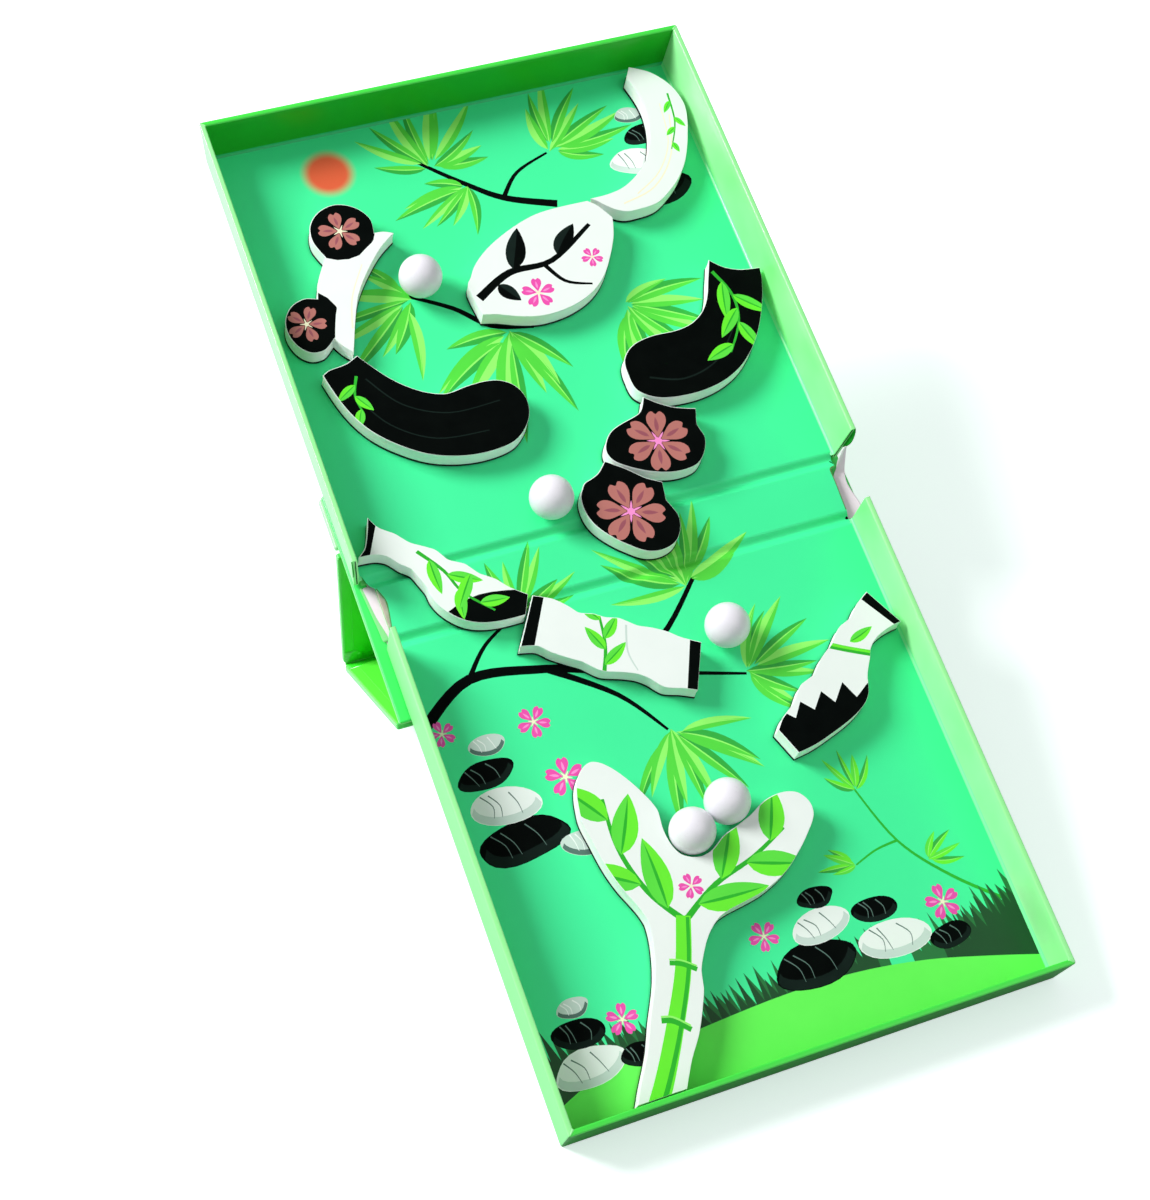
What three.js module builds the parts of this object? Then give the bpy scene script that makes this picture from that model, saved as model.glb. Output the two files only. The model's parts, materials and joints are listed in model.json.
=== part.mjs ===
// Magnetic maze puzzle: a folding game box laid open on its own easel, with
// magnet-backed channel pieces and white balls on a steel-backed playing surface.
// Millimetres. X runs across the board, Y up the board and Z out of its face.
// The whole is laid out flat first and then leaned back onto the heel of its easel.
import * as THREE from 'three';

// sizes of the open board
const lidWidth = 200;
const nestClearance = 5.4;
const baseLength = 188.5;
const spineDepth = 25;
const lidLength = 194.5;
const surfaceHeight = 3;
const lidWallHeight = 22.45;
const baseWallHeight = 21.1;
const wallThickness = 2.1;
const lidWallEndGap = 1.5;
const baseWallEndGap = 1;

// outward lean of the walls, as a share of their height
const lidLeanShare = 0.097;
const baseLeanShare = 0.02;

// sheet thicknesses and clearances
const floorBoardThickness = 1.7;
const wrapThickness = 0.35;
const steelThickness = 0.35;
const printThickness = 0.35;
const layerGap = 0.3;
const creaseHalfWidth = 3.3;
const wrapCreaseGap = 0.5;
const steelInset = 2;
const printInset = 0.5;

// spine
const spineBoardInset = 9;
const spinePrintInset = 9.6;

// easel behind the board
const plateLeftInset = 1.6;
const plateRightInset = 0.8;
const plateBottom = 159.5;
const plateTop = 253.5;
const plateThickness = 2.4;
const linerInset = 1.8;
const linerNotchDepth = 3.9;
const linerNotchBottom = 186;
const linerNotchTop = 216;
const tabBottom = 232.6;
const tabThickness = 3;
const easelSideInset = 0.8;
const panelThickness = 3;
const legLength = 63;
const footLength = 80;
const footEndY = 158.6;
const hingeRelief = 0.15;
const panelEndGap = 0.3;
const footEndDrop = 2;

// loose pieces
const magnetThickness = 0.8;
const foamThickness = 6.25;
const cardThickness = 0.35;
const ballDiameter = 17;
const ballDetail = 2;
const stepsPerSpan = 2;

// ball centres, in shares of the board's width and length
const ballSpotShares = [
  [0.32, 0.8015],
  [0.405, 0.549],
  [0.63, 0.385],
  [0.505, 0.2304],
  [0.425, 0.2145],
];

// each piece: its left edge, bottom edge, width and length in shares of the board's width and length,
// then its outline as smooth runs that meet at corners, in shares of that box
const pieceShares = {
  lobed_arc: {
    boxShares: [0.039, 0.7402, 0.262, 0.1581],
    runShares: [
      [[0.41, 0], [0.45, 0.09], [0.51, 0.22], [0.58, 0.35], [0.66, 0.45], [0.76, 0.55], [0.88, 0.65],
        [1, 0.72]],
      [[1, 0.72], [0.93, 0.745], [0.86, 0.75]],
      [[0.86, 0.75], [0.87, 0.85], [0.79, 0.95], [0.65, 1], [0.51, 0.97], [0.42, 0.89], [0.4, 0.78],
        [0.45, 0.66]],
      [[0.45, 0.66], [0.38, 0.57], [0.32, 0.48], [0.29, 0.4]],
      [[0.29, 0.4], [0.2, 0.42], [0.09, 0.39], [0.015, 0.31], [0, 0.22], [0.04, 0.12], [0.12, 0.06],
        [0.22, 0.06], [0.31, 0.12]],
      [[0.31, 0.12], [0.35, 0.06], [0.41, 0]],
    ],
  },
  bean: {
    boxShares: [0.075, 0.6096, 0.355, 0.1267],
    runShares: [
      [[0.21, 1], [0.26, 0.9], [0.33, 0.77], [0.42, 0.65], [0.51, 0.57], [0.6, 0.53], [0.69, 0.545],
        [0.79, 0.555], [0.88, 0.54], [0.95, 0.485], [0.99, 0.4], [1, 0.3], [0.98, 0.195], [0.93, 0.1],
        [0.86, 0.03], [0.76, 0], [0.63, 0], [0.49, 0.04], [0.37, 0.11], [0.25, 0.23], [0.15, 0.37],
        [0.08, 0.53], [0.035, 0.7], [0, 0.905]],
      [[0, 0.905], [0.04, 0.935], [0.1, 0.945], [0.15, 0.96], [0.21, 1]],
    ],
  },
  cut_oval: {
    boxShares: [0.403, 0.7319, 0.33, 0.1098],
    runShares: [
      [[0, 0.43], [0.07, 0.6], [0.16, 0.725], [0.275, 0.83], [0.41, 0.92], [0.54, 0.98], [0.67, 1],
        [0.885, 1]],
      [[0.885, 1], [0.935, 0.93]],
      [[0.935, 0.93], [0.995, 0.78]],
      [[0.995, 0.78], [0.957, 0.604], [0.88, 0.395], [0.805, 0.24], [0.71, 0.12], [0.6, 0.045], [0.48, 0.005],
        [0.35, 0], [0.22, 0.045], [0.105, 0.11], [0.02, 0.14]],
      [[0.02, 0.14], [0, 0.43]],
    ],
  },
  crescent: {
    boxShares: [0.704, 0.8201, 0.266, 0.1603],
    runShares: [
      [[0.7, 1], [0.83, 0.94], [0.925, 0.855], [0.98, 0.76], [1, 0.655], [0.98, 0.56], [0.935, 0.455],
        [0.88, 0.35],
        [0.81, 0.245], [0.715, 0.15], [0.605, 0.075], [0.48, 0.015], [0.34, 0], [0.22, 0.005], [0.125, 0.05],
        [0.045, 0.115], [0, 0.145]],
      [[0, 0.145], [0.125, 0.147], [0.27, 0.17], [0.41, 0.235], [0.525, 0.32], [0.605, 0.425], [0.665, 0.56],
        [0.69, 0.695], [0.68, 0.815], [0.65, 0.93]],
      [[0.65, 0.93], [0.7, 1]],
    ],
  },
  bent_arm: {
    boxShares: [0.636, 0.6157, 0.341, 0.1328],
    runShares: [
      [[0.725, 1], [0.79, 0.92], [0.885, 0.865], [1, 0.845]],
      [[1, 0.845], [0.985, 0.75], [0.94, 0.6], [0.865, 0.415], [0.775, 0.255], [0.665, 0.125], [0.535, 0.04],
        [0.39, 0], [0.24, 0], [0.13, 0.025], [0.06, 0.07], [0.01, 0.14], [0, 0.255], [0.01, 0.37],
        [0.06, 0.45],
        [0.13, 0.495], [0.24, 0.515], [0.35, 0.51], [0.46, 0.53], [0.555, 0.6], [0.62, 0.705], [0.665, 0.83],
        [0.725, 1]],
    ],
  },
  upper_pebble: {
    boxShares: [0.5375, 0.5424, 0.2, 0.0821],
    runShares: [
      [[0.55, 1], [0.495, 0.875], [0.44, 0.81], [0.28, 0.755], [0.125, 0.685], [0.03, 0.56], [0, 0.445],
        [0.03, 0.335], [0.125, 0.23], [0.31, 0.1], [0.5, 0.02], [0.655, 0], [0.81, 0.035], [0.92, 0.165],
        [0.975, 0.335], [0.95, 0.5], [0.985, 0.635], [1, 0.7]],
      [[1, 0.7], [0.89, 0.74], [0.77, 0.8], [0.64, 0.905], [0.55, 1]],
    ],
  },
  lower_pebble: {
    boxShares: [0.456, 0.4718, 0.167, 0.0993],
    runShares: [
      [[0.43, 1], [0.3, 0.895], [0.115, 0.835]],
      [[0.115, 0.835], [0.02, 0.725], [0, 0.555], [0.055, 0.4], [0.19, 0.245], [0.34, 0.125], [0.5, 0.03],
        [0.675, 0], [0.86, 0.045], [0.975, 0.17], [1, 0.31], [0.94, 0.465], [0.95, 0.525], [0.975, 0.65]],
      [[0.975, 0.65], [0.8, 0.74], [0.64, 0.865], [0.43, 1]],
    ],
  },
  s_band: {
    boxShares: [0.025, 0.4466, 0.273, 0.1294],
    runShares: [
      [[0.147, 1], [0.195, 0.905], [0.285, 0.83], [0.365, 0.735], [0.505, 0.64], [0.57, 0.54], [0.665, 0.48],
        [0.735, 0.385], [0.825, 0.315], [0.895, 0.23], [1, 0.14]],
      [[1, 0.14], [0.935, 0]],
      [[0.935, 0], [0.825, 0], [0.685, 0.015], [0.57, 0.055], [0.48, 0.125], [0.41, 0.22], [0.375, 0.315],
        [0.37, 0.38], [0.34, 0.47], [0.31, 0.545], [0.25, 0.6], [0.185, 0.68], [0.115, 0.715], [0, 0.725]],
      [[0, 0.725], [0.065, 0.79], [0.147, 1]],
    ],
  },
  wavy_band: {
    boxShares: [0.25, 0.3346, 0.322, 0.1279],
    runShares: [
      [[0.17, 1], [0.275, 0.935], [0.35, 0.845], [0.39, 0.785], [0.465, 0.75], [0.525, 0.7], [0.6, 0.665],
        [0.68, 0.58], [0.755, 0.535], [0.835, 0.475], [0.895, 0.41], [1, 0.33]],
      [[1, 0.33], [0.875, 0]],
      [[0.875, 0], [0.795, 0.045], [0.7, 0.09], [0.64, 0.175], [0.58, 0.235], [0.485, 0.285], [0.39, 0.33],
        [0.31, 0.425], [0.25, 0.475], [0.155, 0.56], [0.095, 0.63], [0, 0.66]],
      [[0, 0.66], [0.17, 1]],
    ],
  },
  curved_band: {
    boxShares: [0.645, 0.2534, 0.305, 0.1265],
    runShares: [
      [[0.87, 1], [0.775, 0.925], [0.705, 0.845], [0.61, 0.795], [0.53, 0.7], [0.425, 0.61], [0.345, 0.515],
        [0.24, 0.465], [0.16, 0.36], [0.055, 0.275], [0, 0.2]],
      [[0, 0.2], [0.065, 0]],
      [[0.065, 0], [0.18, 0.02], [0.325, 0.07], [0.465, 0.13], [0.57, 0.2], [0.625, 0.275], [0.66, 0.395],
        [0.72, 0.515], [0.755, 0.59], [0.835, 0.66], [0.94, 0.7], [1, 0.71]],
      [[1, 0.71], [0.87, 1]],
    ],
  },
  fork_catcher: {
    boxShares: [0.164, 0.0093, 0.485, 0.2902],
    runShares: [
      [[0.185, 0], [0, 0]],
      [[0, 0], [0.035, 0.05], [0.1, 0.135], [0.15, 0.22], [0.205, 0.305], [0.24, 0.38], [0.265, 0.485],
        [0.25, 0.54], [0.215, 0.61], [0.19, 0.685], [0.175, 0.77], [0.165, 0.835], [0.17, 0.875],
        [0.19, 0.94],
        [0.23, 0.985], [0.275, 1], [0.32, 0.98], [0.37, 0.93], [0.415, 0.865], [0.445, 0.8], [0.44, 0.75],
        [0.445, 0.695], [0.47, 0.65], [0.53, 0.627], [0.585, 0.636], [0.64, 0.665], [0.71, 0.684],
        [0.775, 0.704], [0.835, 0.73], [0.91, 0.74], [0.97, 0.725], [1, 0.685], [0.995, 0.645], [0.95, 0.6],
        [0.885, 0.55], [0.81, 0.505], [0.705, 0.47], [0.605, 0.455], [0.525, 0.44], [0.46, 0.4],
        [0.415, 0.35],
        [0.385, 0.305], [0.37, 0.255], [0.345, 0.21], [0.295, 0.135], [0.24, 0.075], [0.185, 0]],
    ],
  },
};

// derived places
const half = 1 / 2;
const lowerCrease = baseLength;
const upperCrease = lowerCrease + spineDepth;
const boardLength = upperCrease + lidLength;
const lidWallEnd = upperCrease + lidWallEndGap;
const baseWallEnd = lowerCrease - baseWallEndGap;
const steelBottom = floorBoardThickness + layerGap;
const printBottom = surfaceHeight - printThickness;
const lidLean = lidLeanShare * lidWallHeight;
const baseLean = baseLeanShare * baseWallHeight;
const baseLeft = nestClearance;
const baseRight = lidWidth - nestClearance;

const board = new THREE.Group();
board.name = 'board';

function addPart(name, geometry, color, look) {
  geometry.computeVertexNormals();
  const material = new THREE.MeshStandardMaterial({ color, ...look });
  material.name = name;
  const mesh = new THREE.Mesh(geometry, material);
  mesh.name = name;
  board.add(mesh);
  return mesh;
}

// a closed solid from a counter-clockwise outline, between two heights
function slab(points, bottom, top) {
  const shape = new THREE.Shape(points.map(([x, y]) => new THREE.Vector2(x, y)));
  const geometry = new THREE.ExtrudeGeometry(shape, { depth: top - bottom, bevelEnabled: false });
  geometry.translate(0, 0, bottom);
  return geometry;
}

function rectangle(left, right, bottom, top) {
  return [[left, bottom], [right, bottom], [right, top], [left, top]];
}

// a profile drawn in Y and Z, run across the board from left to right
function acrossBoard(profile, left, right) {
  const geometry = slab(profile, left, right);
  const turn = new THREE.Matrix4().makeBasis(
    new THREE.Vector3(0, 1, 0),
    new THREE.Vector3(0, 0, 1),
    new THREE.Vector3(1, 0, 0),
  );
  geometry.applyMatrix4(turn);
  return geometry;
}

// a six-sided wall with its own rectangle at the foot and at the rim
function leaningBlock(foot, rim, height) {
  const corners = [];
  for (const [x, y] of rectangle(...foot)) corners.push([x, y, 0]);
  for (const [x, y] of rectangle(...rim)) corners.push([x, y, height]);
  const faces = [
    [0, 3, 2, 1],
    [4, 5, 6, 7],
    [0, 1, 5, 4],
    [1, 2, 6, 5],
    [2, 3, 7, 6],
    [3, 0, 4, 7],
  ];
  const positions = [];
  for (const [a, b, c, d] of faces) {
    for (const index of [a, b, c, a, c, d]) positions.push(...corners[index]);
  }
  const geometry = new THREE.BufferGeometry();
  geometry.setAttribute('position', new THREE.Float32BufferAttribute(positions, 3));
  return geometry;
}

const cardLook = { metalness: 0, roughness: 0.6 };
const greenWrap = 0x5fd873;
const paleWrap = 0xc9f7cd;
const tealPrint = 0x45dc8b;

// the two trays, measured at their rims, with their feet set in by the walls' lean
// the cross wall closes the far end, and the side walls stop short of its inner face
function tray(name, left, right, height, lean, openEnd, closedEnd, isLid) {
  const away = Math.sign(closedEnd - openEnd);
  const crossInner = closedEnd - away * wallThickness;
  const sideStop = crossInner - away * layerGap;
  const span = (a, b) => [Math.min(a, b), Math.max(a, b)];
  const sideFoot = span(openEnd, sideStop - away * lean);
  const sideRim = span(openEnd, sideStop);
  const crossFoot = span(crossInner - away * lean, closedEnd - away * lean);
  const crossRim = span(crossInner, closedEnd);
  addPart(
    `${name}_left_wall`,
    leaningBlock(
      [left + lean, left + lean + wallThickness, ...sideFoot],
      [left, left + wallThickness, ...sideRim],
      height,
    ),
    paleWrap,
    cardLook,
  );
  addPart(
    `${name}_right_wall`,
    leaningBlock(
      [right - lean - wallThickness, right - lean, ...sideFoot],
      [right - wallThickness, right, ...sideRim],
      height,
    ),
    paleWrap,
    cardLook,
  );
  addPart(
    `${name}_${isLid ? 'top' : 'bottom'}_wall`,
    leaningBlock([left + lean, right - lean, ...crossFoot], [left, right, ...crossRim], height),
    greenWrap,
    cardLook,
  );
}

tray('base', baseLeft, baseRight, baseWallHeight, baseLean, baseWallEnd, 0, false);
tray('lid', 0, lidWidth, lidWallHeight, lidLean, lidWallEnd, boardLength, true);

// floors: wrapped board, steel sheet, printed sheet
function floorLayers(name, left, right, lean, crease, closedEnd) {
  const away = Math.sign(closedEnd - crease);
  const clear = lean + wallThickness + layerGap;
  const near = crease + away * creaseHalfWidth;
  const far = closedEnd - away * clear;
  const lip = crease + away * wrapCreaseGap;
  const profile = [
    [lip, 0],
    [far, 0],
    [far, floorBoardThickness],
    [near, floorBoardThickness],
    [near, wrapThickness],
    [lip, wrapThickness],
  ];
  if (away < 0) profile.reverse();
  addPart(`${name}_floor_board`, acrossBoard(profile, left + clear, right - clear), greenWrap, cardLook);
  const sheet = (inset) => {
    const ends = [near, far - away * inset].sort((a, b) => a - b);
    return rectangle(left + clear + inset, right - clear - inset, ...ends);
  };
  addPart(
    `${name}_steel_sheet`,
    slab(sheet(steelInset), steelBottom, steelBottom + steelThickness),
    0x9aa0a3,
    { metalness: 0.9, roughness: 0.4 },
  );
  addPart(`${name}_floor_print`, slab(sheet(printInset), printBottom, surfaceHeight), tealPrint, cardLook);
}

floorLayers('base', baseLeft, baseRight, baseLean, lowerCrease, 0);
floorLayers('lid', 0, lidWidth, lidLean, upperCrease, boardLength);

// spine between the two creases
const spineBoardEnds = [lowerCrease + creaseHalfWidth, upperCrease - creaseHalfWidth];
const spineWrapEnds = [lowerCrease + wrapCreaseGap, upperCrease - wrapCreaseGap];
const spineRow = (inset, ends) => rectangle(inset, lidWidth - inset, ...ends);
addPart('spine_wrap', slab(spineRow(spineBoardInset, spineWrapEnds), 0, wrapThickness), greenWrap, cardLook);
addPart(
  'spine_board',
  slab(spineRow(spineBoardInset, spineBoardEnds), wrapThickness + layerGap, printBottom - layerGap),
  0xb9b3a4,
  cardLook,
);
addPart(
  'spine_print',
  slab(spineRow(spinePrintInset, spineBoardEnds), printBottom, surfaceHeight),
  tealPrint,
  cardLook,
);

// easel: plate with its white liner, tab, leg and foot
const linerTop = -layerGap;
const plateFront = linerTop - printThickness - layerGap;
const plateBack = plateFront - plateThickness;
const tabBack = plateBack - layerGap - tabThickness;

const plateLeft = plateLeftInset;
const plateRight = lidWidth - plateRightInset;
const linerLeft = plateLeft + linerInset;
const linerRight = plateRight - linerInset;
const linerLow = plateBottom + linerInset;
const linerHigh = plateTop - linerInset;
// the liner's side edges are cut back in a shallow curve where the spine shows them
function notchRow(edge, inward) {
  const notchShares = [[0, 0], [0.12, 0.7], [0.25, 1], [0.5, 0.65], [0.75, 0.4], [1, 0]];
  const tall = linerNotchTop - linerNotchBottom;
  const cutTo = (deep) => edge + inward * deep * linerNotchDepth;
  return notchShares.map(([up, deep]) => [cutTo(deep), linerNotchBottom + up * tall]);
}
const linerOutline = [
  [linerLeft, linerLow],
  [linerRight, linerLow],
  ...notchRow(linerRight, -1),
  [linerRight, linerHigh],
  [linerLeft, linerHigh],
  ...notchRow(linerLeft, 1).reverse(),
];
const easelLeft = easelSideInset;
const easelRight = lidWidth - easelSideInset;
addPart('stand_plate_liner', slab(linerOutline, linerTop - printThickness, linerTop), 0xf4f8f4, cardLook);
addPart(
  'stand_plate',
  slab(rectangle(plateLeft, plateRight, plateBottom, plateTop), plateBack, plateFront),
  0x3fc653,
  cardLook,
);
addPart(
  'stand_tab',
  slab(rectangle(easelLeft, easelRight, tabBottom, plateTop), tabBack, tabBack + tabThickness),
  0xa9eeb0,
  cardLook,
);

// the leg folds on the tab's back face, and the foot on the leg's inner face
const legHinge = new THREE.Vector2(tabBottom, tabBack - hingeRelief);
const heelDepth = hingeRelief + panelThickness + hingeRelief;
const footTarget = new THREE.Vector2(footEndY, plateBack - footEndDrop);
const footReach = Math.hypot(footLength, panelThickness);

// side view of a panel folded flat: along is measured from its hinge, depth away from the board
function fromFlat(along, depth, hinge, turn) {
  const x = along * Math.cos(turn) + depth * Math.sin(turn);
  const y = along * Math.sin(turn) - depth * Math.cos(turn);
  return new THREE.Vector2(hinge.x + x, hinge.y + y);
}

// the triangle closed by the leg, the foot and the plate
const legReach = Math.hypot(legLength, heelDepth);
const legSlant = Math.atan2(heelDepth, legLength);
const across = footTarget.clone().sub(legHinge);
const acrossLength = across.length();
const squares = acrossLength ** 2 + legReach ** 2 - footReach ** 2;
const cosAtHinge = squares / (2 * acrossLength * legReach);
const towardHeel = Math.atan2(across.y, across.x) + Math.acos(cosAtHinge);
const legTurn = towardHeel + legSlant;
const heelHinge = fromFlat(legLength, heelDepth, legHinge, legTurn);
const towardFootEnd = Math.atan2(footTarget.y - heelHinge.y, footTarget.x - heelHinge.x);
const footSlant = Math.atan2(panelThickness, footLength);
const footTurn = towardFootEnd - footSlant;

function panel(hinge, turn, depths, length) {
  const ends = [panelEndGap, length - panelEndGap];
  const side = [[ends[0], depths[1]], [ends[1], depths[1]], [ends[1], depths[0]], [ends[0], depths[0]]];
  return side.map(([along, depth]) => {
    const point = fromFlat(along, depth, hinge, turn);
    return [point.x, point.y];
  });
}

const legSide = panel(legHinge, legTurn, [hingeRelief, hingeRelief + panelThickness], legLength);
const footSide = panel(heelHinge, footTurn, [-hingeRelief - panelThickness, -hingeRelief], footLength);
addPart('leg_panel', acrossBoard(legSide, easelLeft, easelRight), 0x35c44a, cardLook);
addPart('foot_panel', acrossBoard(footSide, easelLeft, easelRight), 0x8ff07a, cardLook);

// loose pieces: magnet sheet, foam body, printed card
function outlineOf(piece) {
  const [leftShare, bottomShare, widthShare, lengthShare] = piece.boxShares;
  const [left, width] = [leftShare * lidWidth, widthShare * lidWidth];
  const [bottom, length] = [bottomShare * boardLength, lengthShare * boardLength];
  const points = [];
  for (const run of piece.runShares) {
    const path = run.map(([x, y]) => new THREE.Vector3(left + x * width, bottom + y * length, 0));
    const curve = new THREE.CatmullRomCurve3(path, false, 'centripetal');
    const spans = path.length > 2 ? (path.length - 1) * stepsPerSpan : 1;
    const along = curve.getPoints(spans);
    along.pop();
    for (const point of along) points.push([point.x, point.y]);
  }
  if (signedArea(points) < 0) points.reverse();
  return points;
}

function signedArea(points) {
  return points.reduce((sum, [x, y], index) => {
    const [nextX, nextY] = points[(index + 1) % points.length];
    return sum + (x * nextY - nextX * y) * half;
  }, 0);
}

const magnetBottom = surfaceHeight + layerGap;
const foamBottom = magnetBottom + magnetThickness + layerGap;
const cardBottom = foamBottom + foamThickness + layerGap;
for (const [name, piece] of Object.entries(pieceShares)) {
  const full = outlineOf(piece);
  addPart(`${name}_magnet`, slab(full, magnetBottom, magnetBottom + magnetThickness), 0x17191a, cardLook);
  addPart(`${name}_foam`, slab(full, foamBottom, foamBottom + foamThickness), 0xf3f7f2, cardLook);
  addPart(`${name}_print`, slab(full, cardBottom, cardBottom + cardThickness), 0xe9f5ea, cardLook);
}

// white balls
ballSpotShares.forEach(([acrossShare, upShare], index) => {
  const radius = ballDiameter * half;
  const geometry = new THREE.IcosahedronGeometry(radius, ballDetail);
  geometry.translate(acrossShare * lidWidth, upShare * boardLength, surfaceHeight + layerGap + radius);
  addPart(`ball_${index + 1}`, geometry, 0xeeeef0, { metalness: 0, roughness: 0.3 });
});

// lean the board back until its lower back edge and its heel share one level
const heelCorners = [...legSide, ...footSide];
const boardLean = Math.max(...heelCorners.map(([y, z]) => Math.atan2(-z, y - baseLean)));
board.rotation.x = boardLean;
board.updateMatrixWorld(true);
const extent = new THREE.Box3().setFromObject(board, true);
const middle = extent.getCenter(new THREE.Vector3());
board.position.set(-middle.x, -middle.y, -extent.min.z);

const group = new THREE.Group();
group.name = 'magnetic_maze_puzzle';
group.add(board);
group.updateMatrixWorld(true);

export default group;
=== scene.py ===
# %% [markdown]
# # Magnetic maze puzzle
# A folding game box lies open on its easel. Magnet-backed channel pieces sit on a
# printed, steel-backed surface and steer white balls down it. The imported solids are
# the frame. Each step below dresses one kind of part over them, and says what that
# part is, how it could be made and why it is made this way.

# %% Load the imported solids
import json
import math
import random

import bmesh
import bpy
from mathutils import Matrix, Vector
from mathutils.geometry import delaunay_2d_cdt


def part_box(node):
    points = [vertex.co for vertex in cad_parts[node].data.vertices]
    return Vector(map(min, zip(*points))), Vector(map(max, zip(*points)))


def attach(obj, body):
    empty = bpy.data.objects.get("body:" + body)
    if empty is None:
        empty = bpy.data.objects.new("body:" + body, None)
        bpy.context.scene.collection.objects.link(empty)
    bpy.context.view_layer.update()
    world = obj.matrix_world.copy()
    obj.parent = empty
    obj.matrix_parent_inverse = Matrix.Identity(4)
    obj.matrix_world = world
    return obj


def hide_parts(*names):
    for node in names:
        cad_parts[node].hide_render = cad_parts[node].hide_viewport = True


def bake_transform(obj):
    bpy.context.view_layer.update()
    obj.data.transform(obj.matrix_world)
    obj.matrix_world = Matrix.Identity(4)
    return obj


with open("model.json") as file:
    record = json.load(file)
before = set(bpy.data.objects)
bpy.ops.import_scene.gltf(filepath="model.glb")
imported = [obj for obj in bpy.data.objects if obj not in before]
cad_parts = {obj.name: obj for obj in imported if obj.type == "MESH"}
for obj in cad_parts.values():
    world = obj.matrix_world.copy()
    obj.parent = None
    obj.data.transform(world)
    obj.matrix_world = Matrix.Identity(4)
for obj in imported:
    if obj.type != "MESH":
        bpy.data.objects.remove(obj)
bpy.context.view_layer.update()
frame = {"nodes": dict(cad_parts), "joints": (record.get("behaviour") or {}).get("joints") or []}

random.seed(7)

# %% [markdown]
# ## The board's own frame
# The real board leans on its easel, so nothing on it lies along the scene's axes. Each
# piece could be modelled flat and then turned, but its object has to stay unturned at
# the origin. So everything is drawn in board millimetres, x across, y up the board and
# z out of its face, and one matrix puts the points in their place. The fold's joint and
# the easel's slide say where the board stands.

# %% Board sizes and the way from board millimetres to the scene
JOINTS = {joint["name"]: joint for joint in frame["joints"]}
ACROSS = Vector((1, 0, 0))
OUTWARD = -Vector(JOINTS["stand_off"]["axis"]).normalized()
UPWARD = OUTWARD.cross(ACROSS).normalized()
MM = 0.001

LID_WIDTH = 200.0
NEST = 5.4  # from the lid's side to the narrower base's side
LOWER_CREASE = 188.5  # the middles of the two creases, up the board
UPPER_CREASE = 213.5
CREASE = 3.3  # half of a crease's width
LENGTH = 408.0
FLOOR = 3.0  # the height of the playing surface
WALL = 2.1
LID_WALL = 22.45
BASE_WALL = 21.1
LID_LEAN = 0.097  # how far a wall leans out, as a share of its height
BASE_LEAN = 0.02

start = Vector(JOINTS["spine_fold"]["pos_m"]) - (ACROSS * LID_WIDTH / 2 + UPWARD * LOWER_CREASE) * MM
TO_ROW = Matrix.Translation(start) @ Matrix((ACROSS, UPWARD, OUTWARD)).transposed().to_4x4() @ Matrix.Scale(MM, 4)
TO_BOARD = TO_ROW.inverted()
print("the board leans", round(math.degrees(OUTWARD.angle(Vector((0, 0, 1)))), 2), "degrees")

# %% [markdown]
# ## Materials
# Every surface is laminated paper, board, foam, rubber, steel or plastic. Three small
# helpers serve all of their materials. One turns an sRGB code to the linear numbers that
# shaders count in, one adds a node with its links, and one gives the place on a piece in
# millimetres, so that a pattern can be given its real size.

# %% Colours, nodes and millimetres
def linear(hex_code):
    """Linear colour of an sRGB hex code."""
    parts = [int(hex_code[i : i + 2], 16) / 255 for i in (1, 3, 5)]
    return tuple(p / 12.92 if p <= 0.04045 else ((p + 0.055) / 1.055) ** 2.4 for p in parts) + (1.0,)


def add(tree, kind, inputs=None, **settings):
    """Adds a node. Inputs are values or sockets to link from."""
    made = tree.nodes.new(kind)
    for name, value in settings.items():
        setattr(made, name, value)
    for name, value in (inputs or {}).items():
        if isinstance(value, bpy.types.NodeSocket):
            tree.links.new(value, made.inputs[name])
        else:
            made.inputs[name].default_value = value
    return made


def millimetres(tree):
    """Object coordinates in millimetres."""
    where = add(tree, "ShaderNodeTexCoord").outputs["Object"]
    return add(tree, "ShaderNodeVectorMath", {0: where, "Scale": 1000.0}, operation="SCALE").outputs["Vector"]


# %% [markdown]
# ### One builder for every finish
# Painted images could stand for paper and foam, but they blur near by. A Principled
# shader fed by noise stays sharp. It mixes two close colours in soft blotches, since
# ink and lamination are never quite even. One fine noise then varies the gloss and
# lifts the relief, as the grain of a real surface does both.

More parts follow.
